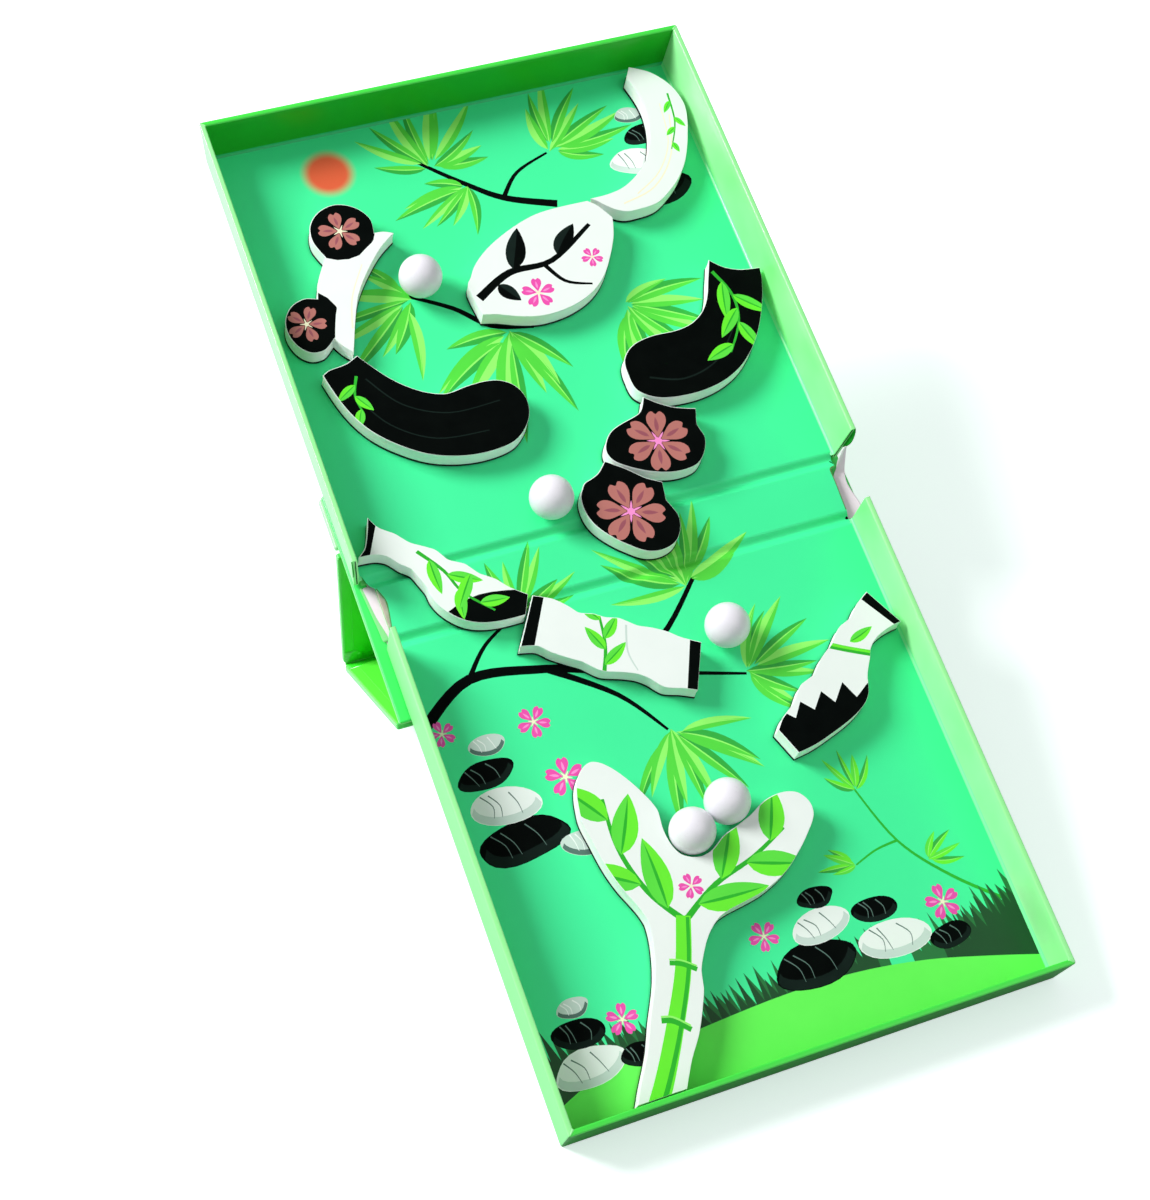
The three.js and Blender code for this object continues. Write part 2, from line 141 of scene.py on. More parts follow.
# %% The finish builder
def finish_material(name, colour, second=None, rough=0.45, blotch=35.0, tone=0.5, grain=0.25, relief=0.02,
                    fibre=1.0, coat=0.0, subsurface=0.0, spec=0.5, metallic=0.0):
    """A finish of two close colours: blotch is their size in mm, relief the height of the grain in mm,
    fibre its fineness per mm, and coat the film of lamination over it."""
    material = bpy.data.materials.new(name)
    material.use_nodes = True
    tree = material.node_tree
    shader = tree.nodes["Principled BSDF"]
    place = millimetres(tree)
    clouds = add(tree, "ShaderNodeTexNoise", {"Vector": place, "Scale": 1.0 / blotch, "Detail": 3.0,
                                              "Roughness": 0.55})
    ramp = add(tree, "ShaderNodeMapRange", {"Value": clouds.outputs["Fac"], "From Min": 0.3, "From Max": 0.7,
                                            "To Min": 0.0, "To Max": tone})
    mix = add(tree, "ShaderNodeMix", {"Factor": ramp.outputs["Result"]}, data_type="RGBA")
    mix.inputs["A"].default_value = linear(colour)
    mix.inputs["B"].default_value = linear(second or colour)
    tree.links.new(mix.outputs["Result"], shader.inputs["Base Color"])
    fine = add(tree, "ShaderNodeTexNoise", {"Vector": place, "Scale": fibre, "Detail": 5.0, "Roughness": 0.6})
    gloss = add(tree, "ShaderNodeMapRange", {"Value": fine.outputs["Fac"], "From Min": 0.25, "From Max": 0.75,
                                             "To Min": rough - 0.05, "To Max": rough + 0.05})
    tree.links.new(gloss.outputs["Result"], shader.inputs["Roughness"])
    bump = add(tree, "ShaderNodeBump", {"Height": fine.outputs["Fac"], "Strength": grain, "Distance": relief * MM})
    tree.links.new(bump.outputs["Normal"], shader.inputs["Normal"])
    shader.inputs["Coat Weight"].default_value = coat
    shader.inputs["Coat Roughness"].default_value = 0.2
    shader.inputs["Specular IOR Level"].default_value = spec
    shader.inputs["Metallic"].default_value = metallic
    if subsurface:
        shader.inputs["Subsurface Weight"].default_value = subsurface
        shader.inputs["Subsurface Scale"].default_value = 0.002
    print(f"{material.name}: {colour}, roughness {rough}")
    return material


# %% [markdown]
# ### Wrapping papers, boards and steel
# The box is grey board wrapped in printed art paper with a film of gloss lamination,
# whose soft blotches are about 48 mm wide. The film gives a broad sheen over a rougher
# ink. Two weaker kinds serve walls that would otherwise only mirror the pale floor. The
# walls' green is one paper with its light and shade painted in. The side walls face the
# key lamp and are painted pale mint. The cross walls face away from it and are painted
# deep green shade. Each panel of the easel has its own sheet.

# %% Papers, boards and steel
# Gloss-laminated art paper, then the same with a dull and with a satin film.
PAPER = dict(rough=0.34, blotch=48.0, grain=0.25, relief=0.02, fibre=1.4, coat=0.45, spec=0.5)
DULL = {**PAPER, "coat": 0.05, "spec": 0.25}
SATIN = {**PAPER, "coat": 0.08, "spec": 0.3, "rough": 0.42}

# The walls of the trays: outside, inside, rim, and the small cove at the floor. The side
# walls' papers are paler copies with painted light, the cross walls' papers are darker
# copies with painted shade, and the cross rim is a painted highlight.
lit_side_out = finish_material("lit_side_outer_paper", "#b3f7b6", "#9df7a4", **SATIN)
# Its paler second colour, in wide blotches, is a painted sheen: the lamp's glare on the glossy inner sides.
lit_side_in = finish_material("lit_side_inner_paper", "#84f48b", "#b4f8ba", **{**PAPER, "tone": 0.9, "blotch": 60.0})
side_rim = finish_material("lit_side_rim_paper", "#93f795", "#a9f7aa", **PAPER)
shaded_cross_out = finish_material("shaded_cross_outer_paper", "#1d9926", "#17891f", **{**PAPER, "coat": 0.0, "spec": 0.06})
lit_base_side_out = finish_material("lit_base_side_outer_paper", "#93f597", "#84ee89", **SATIN)
shaded_cross_in = finish_material("shaded_cross_inner_paper", "#1fb321", "#1ba31f", **DULL)
# The cross rim is much lighter than its wall: a painted highlight where the rolled edge catches the lamp.
cross_rim = finish_material("cross_rim_highlight_paper", "#3ee242", "#34d63a", **PAPER)
side_cove = finish_material("lit_side_cove_paper", "#7af7a3", "#87f7aa", **PAPER)
cross_cove = finish_material("shaded_cross_cove_paper", "#2fc67a", "#2aba72", **DULL)

# The easel and the backs: each panel has its own green, and pale edges.
back_wrap = finish_material("back_wrap_paper", "#57e165", "#4dd55b", **PAPER)
plate_front = finish_material("plate_front_paper", "#45f76e", "#3dec65", **PAPER)
edge_paper = finish_material("panel_edge_paper", "#93e897", "#82de87", **SATIN)
leg_paper = finish_material("leg_paper", "#31de22", "#29cf1d", **PAPER)
foot_paper = finish_material("foot_paper", "#65f746", "#5aec3e", **PAPER)
tab_paper = finish_material("tab_paper", "#b1f7b4", "#a0f7a5", **PAPER)

# The unlit slit between two boards, nearly black.
painted_slit_shade = finish_material("painted_slit_shade", "#15190f", "#0b0f08", rough=0.9, blotch=4.0, spec=0.1)
# The uncoated back of the art paper: matt white with a pink cast and a fine tooth.
gusset_paper = finish_material("gusset_paper", "#f3e9ef", "#eee3ea", rough=0.55, blotch=14.0, grain=0.3, relief=0.03)
# Recycled grey board, cut: fibrous and uneven. Its fibres are drawn coarser than the real ones, so they show.
board_edge = finish_material("grey_board", "#c0baa9", "#aba493", rough=0.8, blotch=3.0, tone=0.9, grain=0.6,
                             relief=0.08, fibre=2.5)
# Bare cold-rolled steel sheet, under the prints: a plain soft mirror.
steel = finish_material("steel_sheet", "#a9aeb1", "#989ea1", rough=0.35, blotch=12.0, fibre=3.0, metallic=1.0)

# %% [markdown]
# ### Foam, magnet sheet and balls
# A channel piece is a sandwich. Its body is die-cut foam, likely EVA: matt white, and it
# lets a little light in. Magnet sheet is ferrite powder in rubber and so nearly black.
# The balls are moulded plastic, likely ABS, smooth enough for a soft highlight. Foam
# and balls could share one white, but then nothing would tell soft from hard.

# %% Foam, magnet sheet and balls
foam = finish_material("white_foam", "#f7f7f7", "#f7f7f7", rough=0.75, blotch=9.0, grain=0.5, relief=0.06,
                       fibre=3.0, subsurface=0.15, spec=0.3)
magnet = finish_material("magnet_sheet", "#050606", "#0b0c0d", rough=0.7, blotch=6.0, grain=0.4, relief=0.03,
                         spec=0.15)
ball_white = finish_material("ball_white", "#eae8ee", "#e4e2ea", rough=0.3, blotch=12.0, grain=0.05, relief=0.01,
                             coat=0.2)

# %% [markdown]
# ### Printing inks
# The picture is offset printing in flat colours on coated card. An image would need
# the whole picture painted first, while here each colour is a finish of its own, and
# each triangle of a print takes one of them. Black ink is laid on heavily and is matt.

# %% Inks
CARD = dict(rough=0.45, blotch=18.0, grain=0.12, relief=0.01, fibre=2.2, spec=0.35)
INKY = dict(rough=0.6, blotch=7.0, tone=0.6, grain=0.2, relief=0.012, fibre=2.2, spec=0.02)
COLOURS = {
    "white": ("#edf6f0", "#e5efe9"), "cream": ("#f2edc9", "#f7f3d4"), "black": ("#040706", "#080d0b"),
    "charcoal": ("#14201c", "#1a2723"), "leaf": ("#5ae240", "#4fd439"), "leaf_dark": ("#22af23", "#27bb26"),
    "leaf_pale": ("#93f76d", "#88ee62"), "leaf_vivid": ("#68f02d", "#5fe328"), "frond": ("#54da40", "#4ad139"),
    "frond_deep": ("#2fae3e", "#28a438"), "hill": ("#67f758", "#5ef151"), "grass": ("#0e4620", "#125126"),
    "grass_mid": ("#207539", "#1d6b35"), "pink": ("#ed4fae", "#e248a5"), "pink_pale": ("#f793d2", "#f786c9"),
    "rose": ("#b9746c", "#ae6b62"), "rose_dark": ("#99525e", "#904a55"), "stone": ("#caded4", "#bed1c8"),
    "stone_dark": ("#55746a", "#4d6b61"), "olive": ("#578640", "#517a3c"),
}
INKS = {"mint": finish_material("ink_mint", "#41f0a0", "#39ea92", **{**CARD, "blotch": 90.0})}
for ink, pair in COLOURS.items():
    INKS[ink] = finish_material(f"ink_{ink}", *pair, **(INKY if ink in ("black", "charcoal") else CARD))


# %% [markdown]
# ### The soft spot
# One orange spot has no edge: it fades into the mint. A ring of many inks would show
# its steps, so its ink mixes the two colours by the distance from the spot's middle.

# %% The ink of the soft spot
SUN_CENTRE = (46.0, 386.0)
SUN_RADIUS = 12.0
SUN_CORE = 0.55  # the share of the radius that is full orange


def sun_ink():
    """A soft orange disc that fades into the mint around it."""
    material = finish_material("ink_sun", "#41f0a0", "#39ea92", **{**CARD, "blotch": 90.0})
    tree = material.node_tree
    shader = tree.nodes["Principled BSDF"]
    centre = TO_ROW @ Vector((*SUN_CENTRE, FLOOR))
    place = add(tree, "ShaderNodeTexCoord").outputs["Object"]
    offset = add(tree, "ShaderNodeVectorMath", {0: place, 1: tuple(centre)}, operation="DISTANCE").outputs["Value"]
    fade = add(tree, "ShaderNodeMapRange", {"Value": offset, "From Min": SUN_RADIUS * SUN_CORE * MM,
                                            "From Max": SUN_RADIUS * MM, "To Min": 0.0, "To Max": 1.0},
               interpolation_type="SMOOTHSTEP")
    print_colour = shader.inputs["Base Color"].links[0].from_socket
    mix = add(tree, "ShaderNodeMix", {"Factor": fade.outputs["Result"]}, data_type="RGBA")
    mix.inputs["A"].default_value = linear("#e2603a")
    tree.links.new(print_colour, mix.inputs["B"])
    tree.links.new(mix.outputs["Result"], shader.inputs["Base Color"])
    return material


INKS["sun"] = sun_ink()
INK_NAMES = list(INKS)
INK_MATERIALS = list(INKS.values())
print("inks:", ", ".join(INK_NAMES))

# %% [markdown]
# ## Printed motifs
# The print is made of flat closed shapes, drawn back to front like cut paper. They
# could be curve objects, but plain lists of points can be cut into one sheet later on.
# Each motif is a pair of an ink's name and an outline in board millimetres. First come
# leaves, and sprays of them.

# %% Leaves and sprays
def spot(centre, angle, reach):
    """The point at a distance and an angle in degrees from a centre."""
    turn = math.radians(angle)
    return centre[0] + reach * math.cos(turn), centre[1] + reach * math.sin(turn)


def leaf_outline(base, angle, length, width, bend=0.0, steps=9, sides=(1, -1)):
    """A pointed leaf from its stalk end. Bend is the sideways swing of its tip, in shares of its length."""
    along = Vector((math.cos(math.radians(angle)), math.sin(math.radians(angle))))
    side = Vector((-along.y, along.x))

    def middle(share):
        return Vector(base) + along * length * share + side * bend * length * share * share

    def half_width(share):
        return width / 2 * math.sin(math.pi * share ** 0.8) ** 0.85

    shares = [i / steps for i in range(steps + 1)]
    there = [middle(s) + side * half_width(s) * sides[0] for s in shares]
    back = [middle(s) + side * half_width(s) * sides[1] for s in reversed(shares[1:-1])]
    return [tuple(p) for p in there + back]


def leaf(base, angle, length, width, bend=0.0, inks=("leaf", "leaf_pale"), rib=None):
    """A leaf with a second ink along one half, and a rib where an ink is named for it."""
    motifs = [(inks[0], leaf_outline(base, angle, length, width, bend)),
              (inks[1], leaf_outline(base, angle, length, width, bend, sides=(1, 0.06)))]
    if rib:
        motifs.append((rib, leaf_outline(base, angle, length * 0.93, width * 0.12, bend)))
    return motifs


def spray(centre, heading, spread, count, length, width, inks=("frond", "leaf_pale")):
    """Slender arching leaves that fan out from a short forked twig."""
    motifs = []
    for i in range(count):
        share = i / (count - 1) - 0.5
        angle = heading + spread * share + random.uniform(-7, 7)
        reach = length * (1 - 0.55 * abs(share) + random.uniform(-0.22, 0.14))
        pair = inks if i % 2 else (inks[0], "frond_deep")
        foot = spot(centre, heading + spread * share * 0.6, length * random.uniform(0.0, 0.16))
        arch = -0.5 * share + random.uniform(-0.08, 0.08)
        motifs += leaf(foot, angle, reach, width * random.uniform(0.72, 1.05), arch, pair, "leaf_pale")
    return motifs


# %% [markdown]
# ### Lines, strokes and patches
# A twig is a brush stroke, wide at its root and narrow at its tip. A few points give its
# route, and a curve that passes through each of them rounds it, so the points can be
# read off a sketch. The same curve later smooths the outlines of the channel pieces.

# %% Lines, strokes and patches
def between(a, b, c, d, t):
    """The point at a share t of the way from b to c, on a smooth curve through all four."""
    return 0.5 * (2 * b + (c - a) * t + (2 * a - 5 * b + 4 * c - d) * t * t + (3 * b - a - 3 * c + d) * t ** 3)


def smooth_line(points, steps=6):
    """A flowing line through the given points."""
    line = []
    for i in range(len(points) - 1):
        a, b, c, d = (Vector(points[min(max(j, 0), len(points) - 1)]) for j in (i - 1, i, i + 1, i + 2))
        line += [between(a, b, c, d, k / steps) for k in range(steps)]
    return line + [Vector(points[-1])]


def stroke(points, wide, narrow=None, steps=6):
    """A brush stroke along a line, from one width to another."""
    line = smooth_line(points, steps)
    narrow = wide if narrow is None else narrow
    left, right = [], []
    for i, point in enumerate(line):
        ahead, behind = line[min(i + 1, len(line) - 1)], line[max(i - 1, 0)]
        run = (ahead - behind).normalized()
        half = (wide + (narrow - wide) * i / (len(line) - 1)) / 2
        left.append((point.x - run.y * half, point.y + run.x * half))
        right.append((point.x + run.y * half, point.y - run.x * half))
    return left + right[::-1]


def disc(centre, radius, squash=1.0, turn=0.0, points=20):
    """A round or oval patch."""
    found = []
    c, s = math.cos(math.radians(turn)), math.sin(math.radians(turn))
    for i in range(points):
        angle = 2 * math.pi * i / points
        x, y = radius * math.cos(angle), radius * squash * math.sin(angle)
        found.append((centre[0] + x * c - y * s, centre[1] + x * s + y * c))
    return found


# %% [markdown]
# ### Blossoms
# A blossom is one notched petal, turned about its middle. Separate petals keep the thin
# gaps between them, which one star-shaped outline would lose.

# %% Blossoms
# One petal, as shares of the blossom's radius, from its foot round its notched tip.
PETAL = [(0.1, 0.0), (0.34, 0.15), (0.62, 0.29), (0.86, 0.28), (1.0, 0.13), (0.9, 0.0), (1.0, -0.13), (0.86, -0.28),
         (0.62, -0.29), (0.34, -0.15)]


def blossom(centre, radius, petals=5, turn=0.0, inks=("pink", "pink_pale", "cream")):
    """A flower of separate notched petals, each with a thin streak, about a ring of stamens."""
    motifs = []
    for i in range(petals):
        angle = math.radians(turn + 360 * i / petals)
        c, s = math.cos(angle), math.sin(angle)
        outline = [(centre[0] + radius * (u * c - v * s), centre[1] + radius * (u * s + v * c)) for u, v in PETAL]
        closed = smooth_line(outline + outline[:1], 3)[:-1]
        motifs.append((inks[0], [tuple(p) for p in closed]))
        motifs.append((inks[1], leaf_outline(spot(centre, math.degrees(angle), radius * 0.3), math.degrees(angle),
                                             radius * 0.5, radius * 0.13, 0.05, 5)))
    for i in range(petals):
        angle = turn + 360 * (i + 0.5) / petals
        motifs.append((inks[2], leaf_outline(centre, angle, radius * 0.36, radius * 0.07, 0.0, 4)))
    motifs.append((inks[2], disc(centre, radius * 0.12, points=8)))
    return motifs


# %% [markdown]
# ### Pebbles
# A water-worn stone is an oval with a slow wobble. Stones written out by hand would
# take hundreds of points, so the wobble comes from the seeded generator, which gives
# the same stones on each run. A darker foot makes a stone look round, and a pile is
# drawn from its lowest stone up.

# %% Pebbles and piles of them
def pebble(x, y, radius, squash, turn, inks):
    """A water-worn stone: an uneven oval with a shaded foot and two veins."""
    swell = [random.uniform(-0.045, 0.045) for _ in range(3)]
    c, s = math.cos(math.radians(turn)), math.sin(math.radians(turn))

    def place(u, v):
        return x + radius * (u * c - v * squash * s), y + radius * (u * s + v * squash * c)

    def at(angle, reach):
        wobble = reach * (1 + sum(w * math.cos((k + 2) * angle + k) for k, w in enumerate(swell)))
        return place(wobble * math.cos(angle), wobble * math.sin(angle))

    around = [2 * math.pi * i / 26 for i in range(26)]
    foot = [math.pi * (1.05 + 0.9 * i / 12) for i in range(13)]
    shade = [at(a, 0.97) for a in foot] + [(px, py + radius * 0.17) for px, py in (at(a, 0.86) for a in foot[::-1])]
    motifs = [(inks[0], [at(a, 1.0) for a in around]), (inks[1], shade)]
    for u in (-0.42, -0.2, 0.35):
        line = [place(u - 0.2, 0.72), place(u + random.uniform(-0.06, 0.1), 0.1), place(u + 0.05, -0.55)]
        motifs.append((inks[2], stroke(line, 0.5, 0.2, 4)))
    return motifs


def cairn(spots):
    """A pile of flat pebbles, the lowest first: place, radius, squash, turn and kind."""
    kinds = {"pale": ("white", "stone", "stone_dark"), "dark": ("black", "charcoal", "stone_dark"),
             "grey": ("stone", "stone_dark", "white")}
    motifs = []
    for x, y, radius, squash, turn, kind in spots:
        motifs += pebble(x, y, radius, squash, turn, kinds[kind])
    return motifs


# %% [markdown]
# ### Sprigs and grass
# A sprig sets leaves on alternate sides of a stem. Grass is one jagged outline: single
# blades would cost many shapes and look the same at this size.

# %% Sprigs and grass
FRESH = ("leaf_vivid", "leaf")
BLADE_GAP = 3.4  # the grass blades stand 0.7 to 1.2 times this apart


def sprig(points, wide, leaves, length, width):
    """A stem with leaves on alternate sides."""
    motifs = [("leaf_dark", stroke(points, wide, wide * 0.5))]
    line = smooth_line(points)
    for i in range(leaves):
        share = (i + 1) / (leaves + 0.6)
        at = int(share * (len(line) - 1))
        run = line[min(at + 1, len(line) - 1)] - line[max(at - 1, 0)]
        heading = math.degrees(math.atan2(run.y, run.x)) + (38 if i % 2 else -38)
        motifs += leaf(tuple(line[at]), heading, length * (1.1 - 0.35 * share), width, 0.05, FRESH, "leaf_dark")
    return motifs


def tufts(left, right, low, high, lift):
    """A band of grass: a jagged upper edge of blades over a straight foot."""
    points = [(left, low)]
    x = left
    while x < right:
        top = high + lift * (x - left) / (right - left)
        points.append((x + BLADE_GAP * 0.15, top - random.uniform(2, 5)))
        points.append((x + random.uniform(-0.4, 1.2), top + random.uniform(3, 8.5)))
        x += BLADE_GAP * random.uniform(0.7, 1.2)
    points += [(right, high + lift - 3), (right, low)]
    return points


# %% [markdown]
# ## Inlaid prints
# The print has to be flat, and stacked shapes would shimmer or throw shadows. So the
# outline and all its motifs are cut into one sheet of triangles, as in marquetry, and
# each triangle takes the ink of the last motif that covers it. A constrained Delaunay
# triangulation does the cutting. Points of motifs that run past the sheet's outline
# are dropped at the end, so that none is left without a face.

# %% Cutting an inlay
def covers(polygon, x, y):
    """True where the outline winds round the point."""
    winding = 0
    for (ax, ay), (bx, by) in zip(polygon, polygon[1:] + polygon[:1]):
        if (ay > y) != (by > y) and (x < ax + (y - ay) / (by - ay) * (bx - ax)):
            winding += 1 if by > ay else -1
    return winding != 0


def inlay(outline, motifs, ground, inner=None, rows=()):
    """Points, triangles and an ink index for each. Outside the inner outline the sheet stays bare white."""
    layers = [(ground, [tuple(p)[:2] for p in outline])]
    layers += [(ink, [tuple(p)[:2] for p in points]) for ink, points in motifs]
    edge = [tuple(p)[:2] for p in inner] if inner else None
    points, edges = [], []
    for polygon in [layer[1] for layer in layers] + ([edge] if edge else []):
        first = len(points)
        edges += [(first + i, first + (i + 1) % len(polygon)) for i in range(len(polygon))]
        points += [Vector(p) for p in polygon]
    left, right = min(p.x for p in points), max(p.x for p in points)
    for y in rows:
        edges.append((len(points), len(points) + 1))
        points += [Vector((left, y)), Vector((right, y))]
    found, _, triangles, *_ = delaunay_2d_cdt(points, edges, [], 0, 1e-4)
    boxes = [(min(p[0] for p in shape), max(p[0] for p in shape), min(p[1] for p in shape), max(p[1] for p in shape))
             for _, shape in layers]
    kept, ink_of = [], []
    for triangle in triangles:
        x = sum(found[i].x for i in triangle) / 3
        y = sum(found[i].y for i in triangle) / 3
        if not covers(layers[0][1], x, y):
            continue
        top = 0
        for number in range(len(layers) - 1, 0, -1):
            left, right, low, high = boxes[number]
            if left <= x <= right and low <= y <= high and covers(layers[number][1], x, y):
                top = number
                break
        ink = "white" if edge and not covers(edge, x, y) else layers[top][0]
        kept.append(list(triangle))
        ink_of.append(INK_NAMES.index(ink))
    used = sorted({corner for triangle in kept for corner in triangle})
    number_of = {corner: number for number, corner in enumerate(used)}
    kept = [[number_of[corner] for corner in triangle] for triangle in kept]
    return [tuple(found[corner]) for corner in used], kept, ink_of


# %% [markdown]
# ## Making a mesh
# Paper and board pieces are thin, with soft edges that catch the light. A primitive
# would have to be cut to each outline, so most pieces are built straight from their
# points, and modifiers then soften them or give them a thickness. These are applied at
# once, so that the mesh itself holds the shape that is seen.

# %% Helpers for meshes
def mesh_object(name, points, faces, body, materials, smooth=False, face_materials=None):
    """A finished piece: its points are given in board millimetres and stored in the row's metres."""
    mesh = bpy.data.meshes.new(name)
    mesh.from_pydata([TO_ROW @ Vector(p) for p in points], [], faces)
    for material in materials:
        mesh.materials.append(material)
    if face_materials:
        mesh.polygons.foreach_set("material_index", face_materials)
    mesh.update()
    made = bpy.data.objects.new(name, mesh)
    bpy.context.scene.collection.objects.link(made)
    if smooth:
        mesh.shade_smooth()
    if body:
        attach(made, body)
    return made


def apply_modifiers(made):
    """Turns the modifiers into plain mesh."""
    bpy.context.view_layer.objects.active = made
    made.select_set(True)
    for modifier in list(made.modifiers):
        bpy.ops.object.modifier_apply(modifier=modifier.name)
    made.select_set(False)


def tell(made):
    """Prints a finished piece's name, faces and size along the scene's axes."""
    spans = [max(v.co[axis] for v in made.data.vertices) - min(v.co[axis] for v in made.data.vertices)
             for axis in range(3)]
    print(f"{made.name}: {len(made.data.polygons)} faces,", " x ".join(f"{span / MM:.1f}" for span in spans), "mm")
    return made


# %% [markdown]
# ## Wrapped trays
# A tray has three walls of wrapped board that lean outwards, in one U that is open at
# the fold. Three bevelled boxes would show seams at the corners, where the paper of the
# real one runs on. So one section is drawn, with the paper's soft edges and the small
# cove where the lining meets the floor, and is swept along the U.

# %% The section of a wall
RIM_RADIUS = 0.5
FOOT_RADIUS = 0.35
COVE_RADIUS = 1.1


def arc_points(centre_d, centre_z, radius, first, last, steps):
    """Points of an arc in a wall's section, by angles in degrees."""
    found = []
    for i in range(steps + 1):
        angle = math.radians(first + (last - first) * i / steps)
        found.append((centre_d + radius * math.cos(angle), centre_z + radius * math.sin(angle)))
    return found


def wall_section(height, lean):
    """The section's points as inward distance and height, and the paper of each strip that starts there."""
    def outer(z):
        return lean * (height - z)

    def inner(z):
        return outer(z) + WALL

    edge = RIM_RADIUS
    rows = [((inner(0) - 0.4, 0.0), "back")]
    rows += [(p, "outer") for p in arc_points(outer(FOOT_RADIUS) + FOOT_RADIUS, FOOT_RADIUS, FOOT_RADIUS, 270, 180, 3)]
    rows += [((outer(height * k / 5), height * k / 5), "outer") for k in (1, 2, 3, 4)]
    rows += [(p, "rim") for p in arc_points(outer(height) + edge, height - edge, edge, 180, 90, 4)]
    rows += [(p, "rim") for p in arc_points(inner(height) - edge, height - edge, edge, 90, 0, 4)[:-1]]
    rows += [((inner(height - edge), height - edge), "inner")]
    rows += [((inner(height * k / 5), height * k / 5), "inner") for k in (4, 3, 2)]
    foot = FLOOR + COVE_RADIUS
    rows += [(p, "cove") for p in arc_points(inner(foot) + COVE_RADIUS, foot, COVE_RADIUS, 180, 262, 5)]
    rows += [((inner(0) + 1.0, FLOOR - 0.3), "back"), ((inner(0) - 0.1, FLOOR - 0.3), "back")]
    return rows


# %% [markdown]
# ### Sweeping the walls
# The sweep puts a copy of the section at each open end and a fan of copies round each
# corner, and joins them with faces. A curve with a profile could sweep it too, but with
# one material for all of its length. Here each face takes the paper of its part of the
# wall: paler with painted light on the side walls, darker with painted shade on the cross
# walls. The sharp turns of the section are split, and all else is shaded smooth.

# %% Sweeping the section of a wall
CORNER_STEPS = 5
CORNER_RADIUS = 0.9


def crisp(made, angle):
    """Smooth shading that breaks at edges sharper than an angle in degrees."""
    made.data.shade_smooth()
    split = made.modifiers.new("split", "EDGE_SPLIT")
    split.split_angle = math.radians(angle)
    apply_modifiers(made)


def u_wall(name, left, right, open_y, closed_y, height, lean, body, lit_side_paper):
    """Sweeps the section along one side, the closed end and the other side."""
    away = 1 if closed_y > open_y else -1
    section = wall_section(height, lean)
    count = len(section)

    def corner_ring(d, z, ring, centre_side):
        radius = max(CORNER_RADIUS - (d - lean * (height - z)), 0.04)
        angle = math.radians(90 * ring / CORNER_STEPS)
        along, across = radius * (1 - math.sin(angle)), radius * (1 - math.cos(angle))
        y = closed_y - away * (d + along)
        x = left + d + across if centre_side < 0 else right - d - across
        return x, y, z

    points = [(left + d, open_y, z) for (d, z), _ in section]
    stations = ["side"]
    for ring in range(CORNER_STEPS + 1):
        points += [corner_ring(d, z, ring, -1) for (d, z), _ in section]
        stations.append("side" if ring < 2 else "cross")
    for ring in reversed(range(CORNER_STEPS + 1)):
        points += [corner_ring(d, z, ring, 1) for (d, z), _ in section]
        stations.append("cross" if ring > 2 else "side")
    points += [(right - d, open_y, z) for (d, z), _ in section]
    # The side walls take the papers with painted light, and the cross walls take those with painted shade.
    papers = {"side_outer": lit_side_paper, "side_inner": lit_side_in, "side_rim": side_rim, "side_cove": side_cove,
              "cross_outer": shaded_cross_out, "cross_inner": shaded_cross_in, "cross_rim": cross_rim, "cross_cove": cross_cove,
              "back": back_wrap}
    names = list(papers)
    faces, picks = [], []
    for station in range(len(points) // count - 1):
        kind = stations[station]
        for i in range(count):
            a, b = station * count + i, station * count + (i + 1) % count
            corners = [a, b, b + count, a + count]
            faces.append(corners if away < 0 else corners[::-1])
            part = section[i][1]
            picks.append(names.index(part if part == "back" else f"{kind}_{part}"))
    first = list(range(count))
    last = [len(points) - count + i for i in range(count)]
    faces.append(first[::-1] if away < 0 else first)
    faces.append(last if away < 0 else last[::-1])
    picks += [names.index("side_rim")] * 2
    made = mesh_object(name, points, faces, body, list(papers.values()), face_materials=picks)
    crisp(made, 35)
    return tell(made)


# %% [markdown]
# ### The walls of both trays
# The lid's walls are higher and lean out more than the base's, so that the narrower
# base nests in it when the box is closed. The base could be a smaller copy of the lid,
# but scaling would thin its boards, so each is swept at its own size. Each U stands for
# three packed walls.

# %% The walls of both trays
LID_OPEN_END = UPPER_CREASE + 1.5  # where the side walls stop at the fold
BASE_OPEN_END = LOWER_CREASE - 1.0

lid_walls = u_wall("lid_wrapped_walls", 0.0, LID_WIDTH, LID_OPEN_END, LENGTH, LID_WALL, LID_LEAN, "lid", lit_side_out)
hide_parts("lid_left_wall", "lid_right_wall", "lid_top_wall")
base_walls = u_wall("base_wrapped_walls", NEST, LID_WIDTH - NEST, BASE_OPEN_END, 0.0, BASE_WALL, BASE_LEAN, "base",
                    lit_base_side_out)
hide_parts("base_left_wall", "base_right_wall", "base_bottom_wall")

# %% [markdown]
# ### Pinched corners
# Where the wrap turns over a corner, its spare paper is pinched into a tiny fold on the
# mitre. A displaced edge would need a very fine mesh, so the fold is a small ridge of
# its own that lies on the rim.

# %% The folds on the rims' corners
def grid_faces(rows, columns, flip=False):
    """The quads of a grid of points that is stored row by row."""
    faces = []
    for j in range(rows):
        for k in range(columns):
            first = j * (columns + 1) + k
            beyond = first + columns + 1
            faces.append([beyond, beyond + 1, first + 1, first] if flip else [first, first + 1, beyond + 1, beyond])
    return faces


def thicken(made, thickness, offset=-1.0):
    """Gives a sheet its thickness in millimetres, behind its face, or in front with an offset of 1."""
    skin = made.modifiers.new("skin", "SOLIDIFY")
    skin.thickness = thickness * MM
    skin.offset = offset
    apply_modifiers(made)
    tell(made)


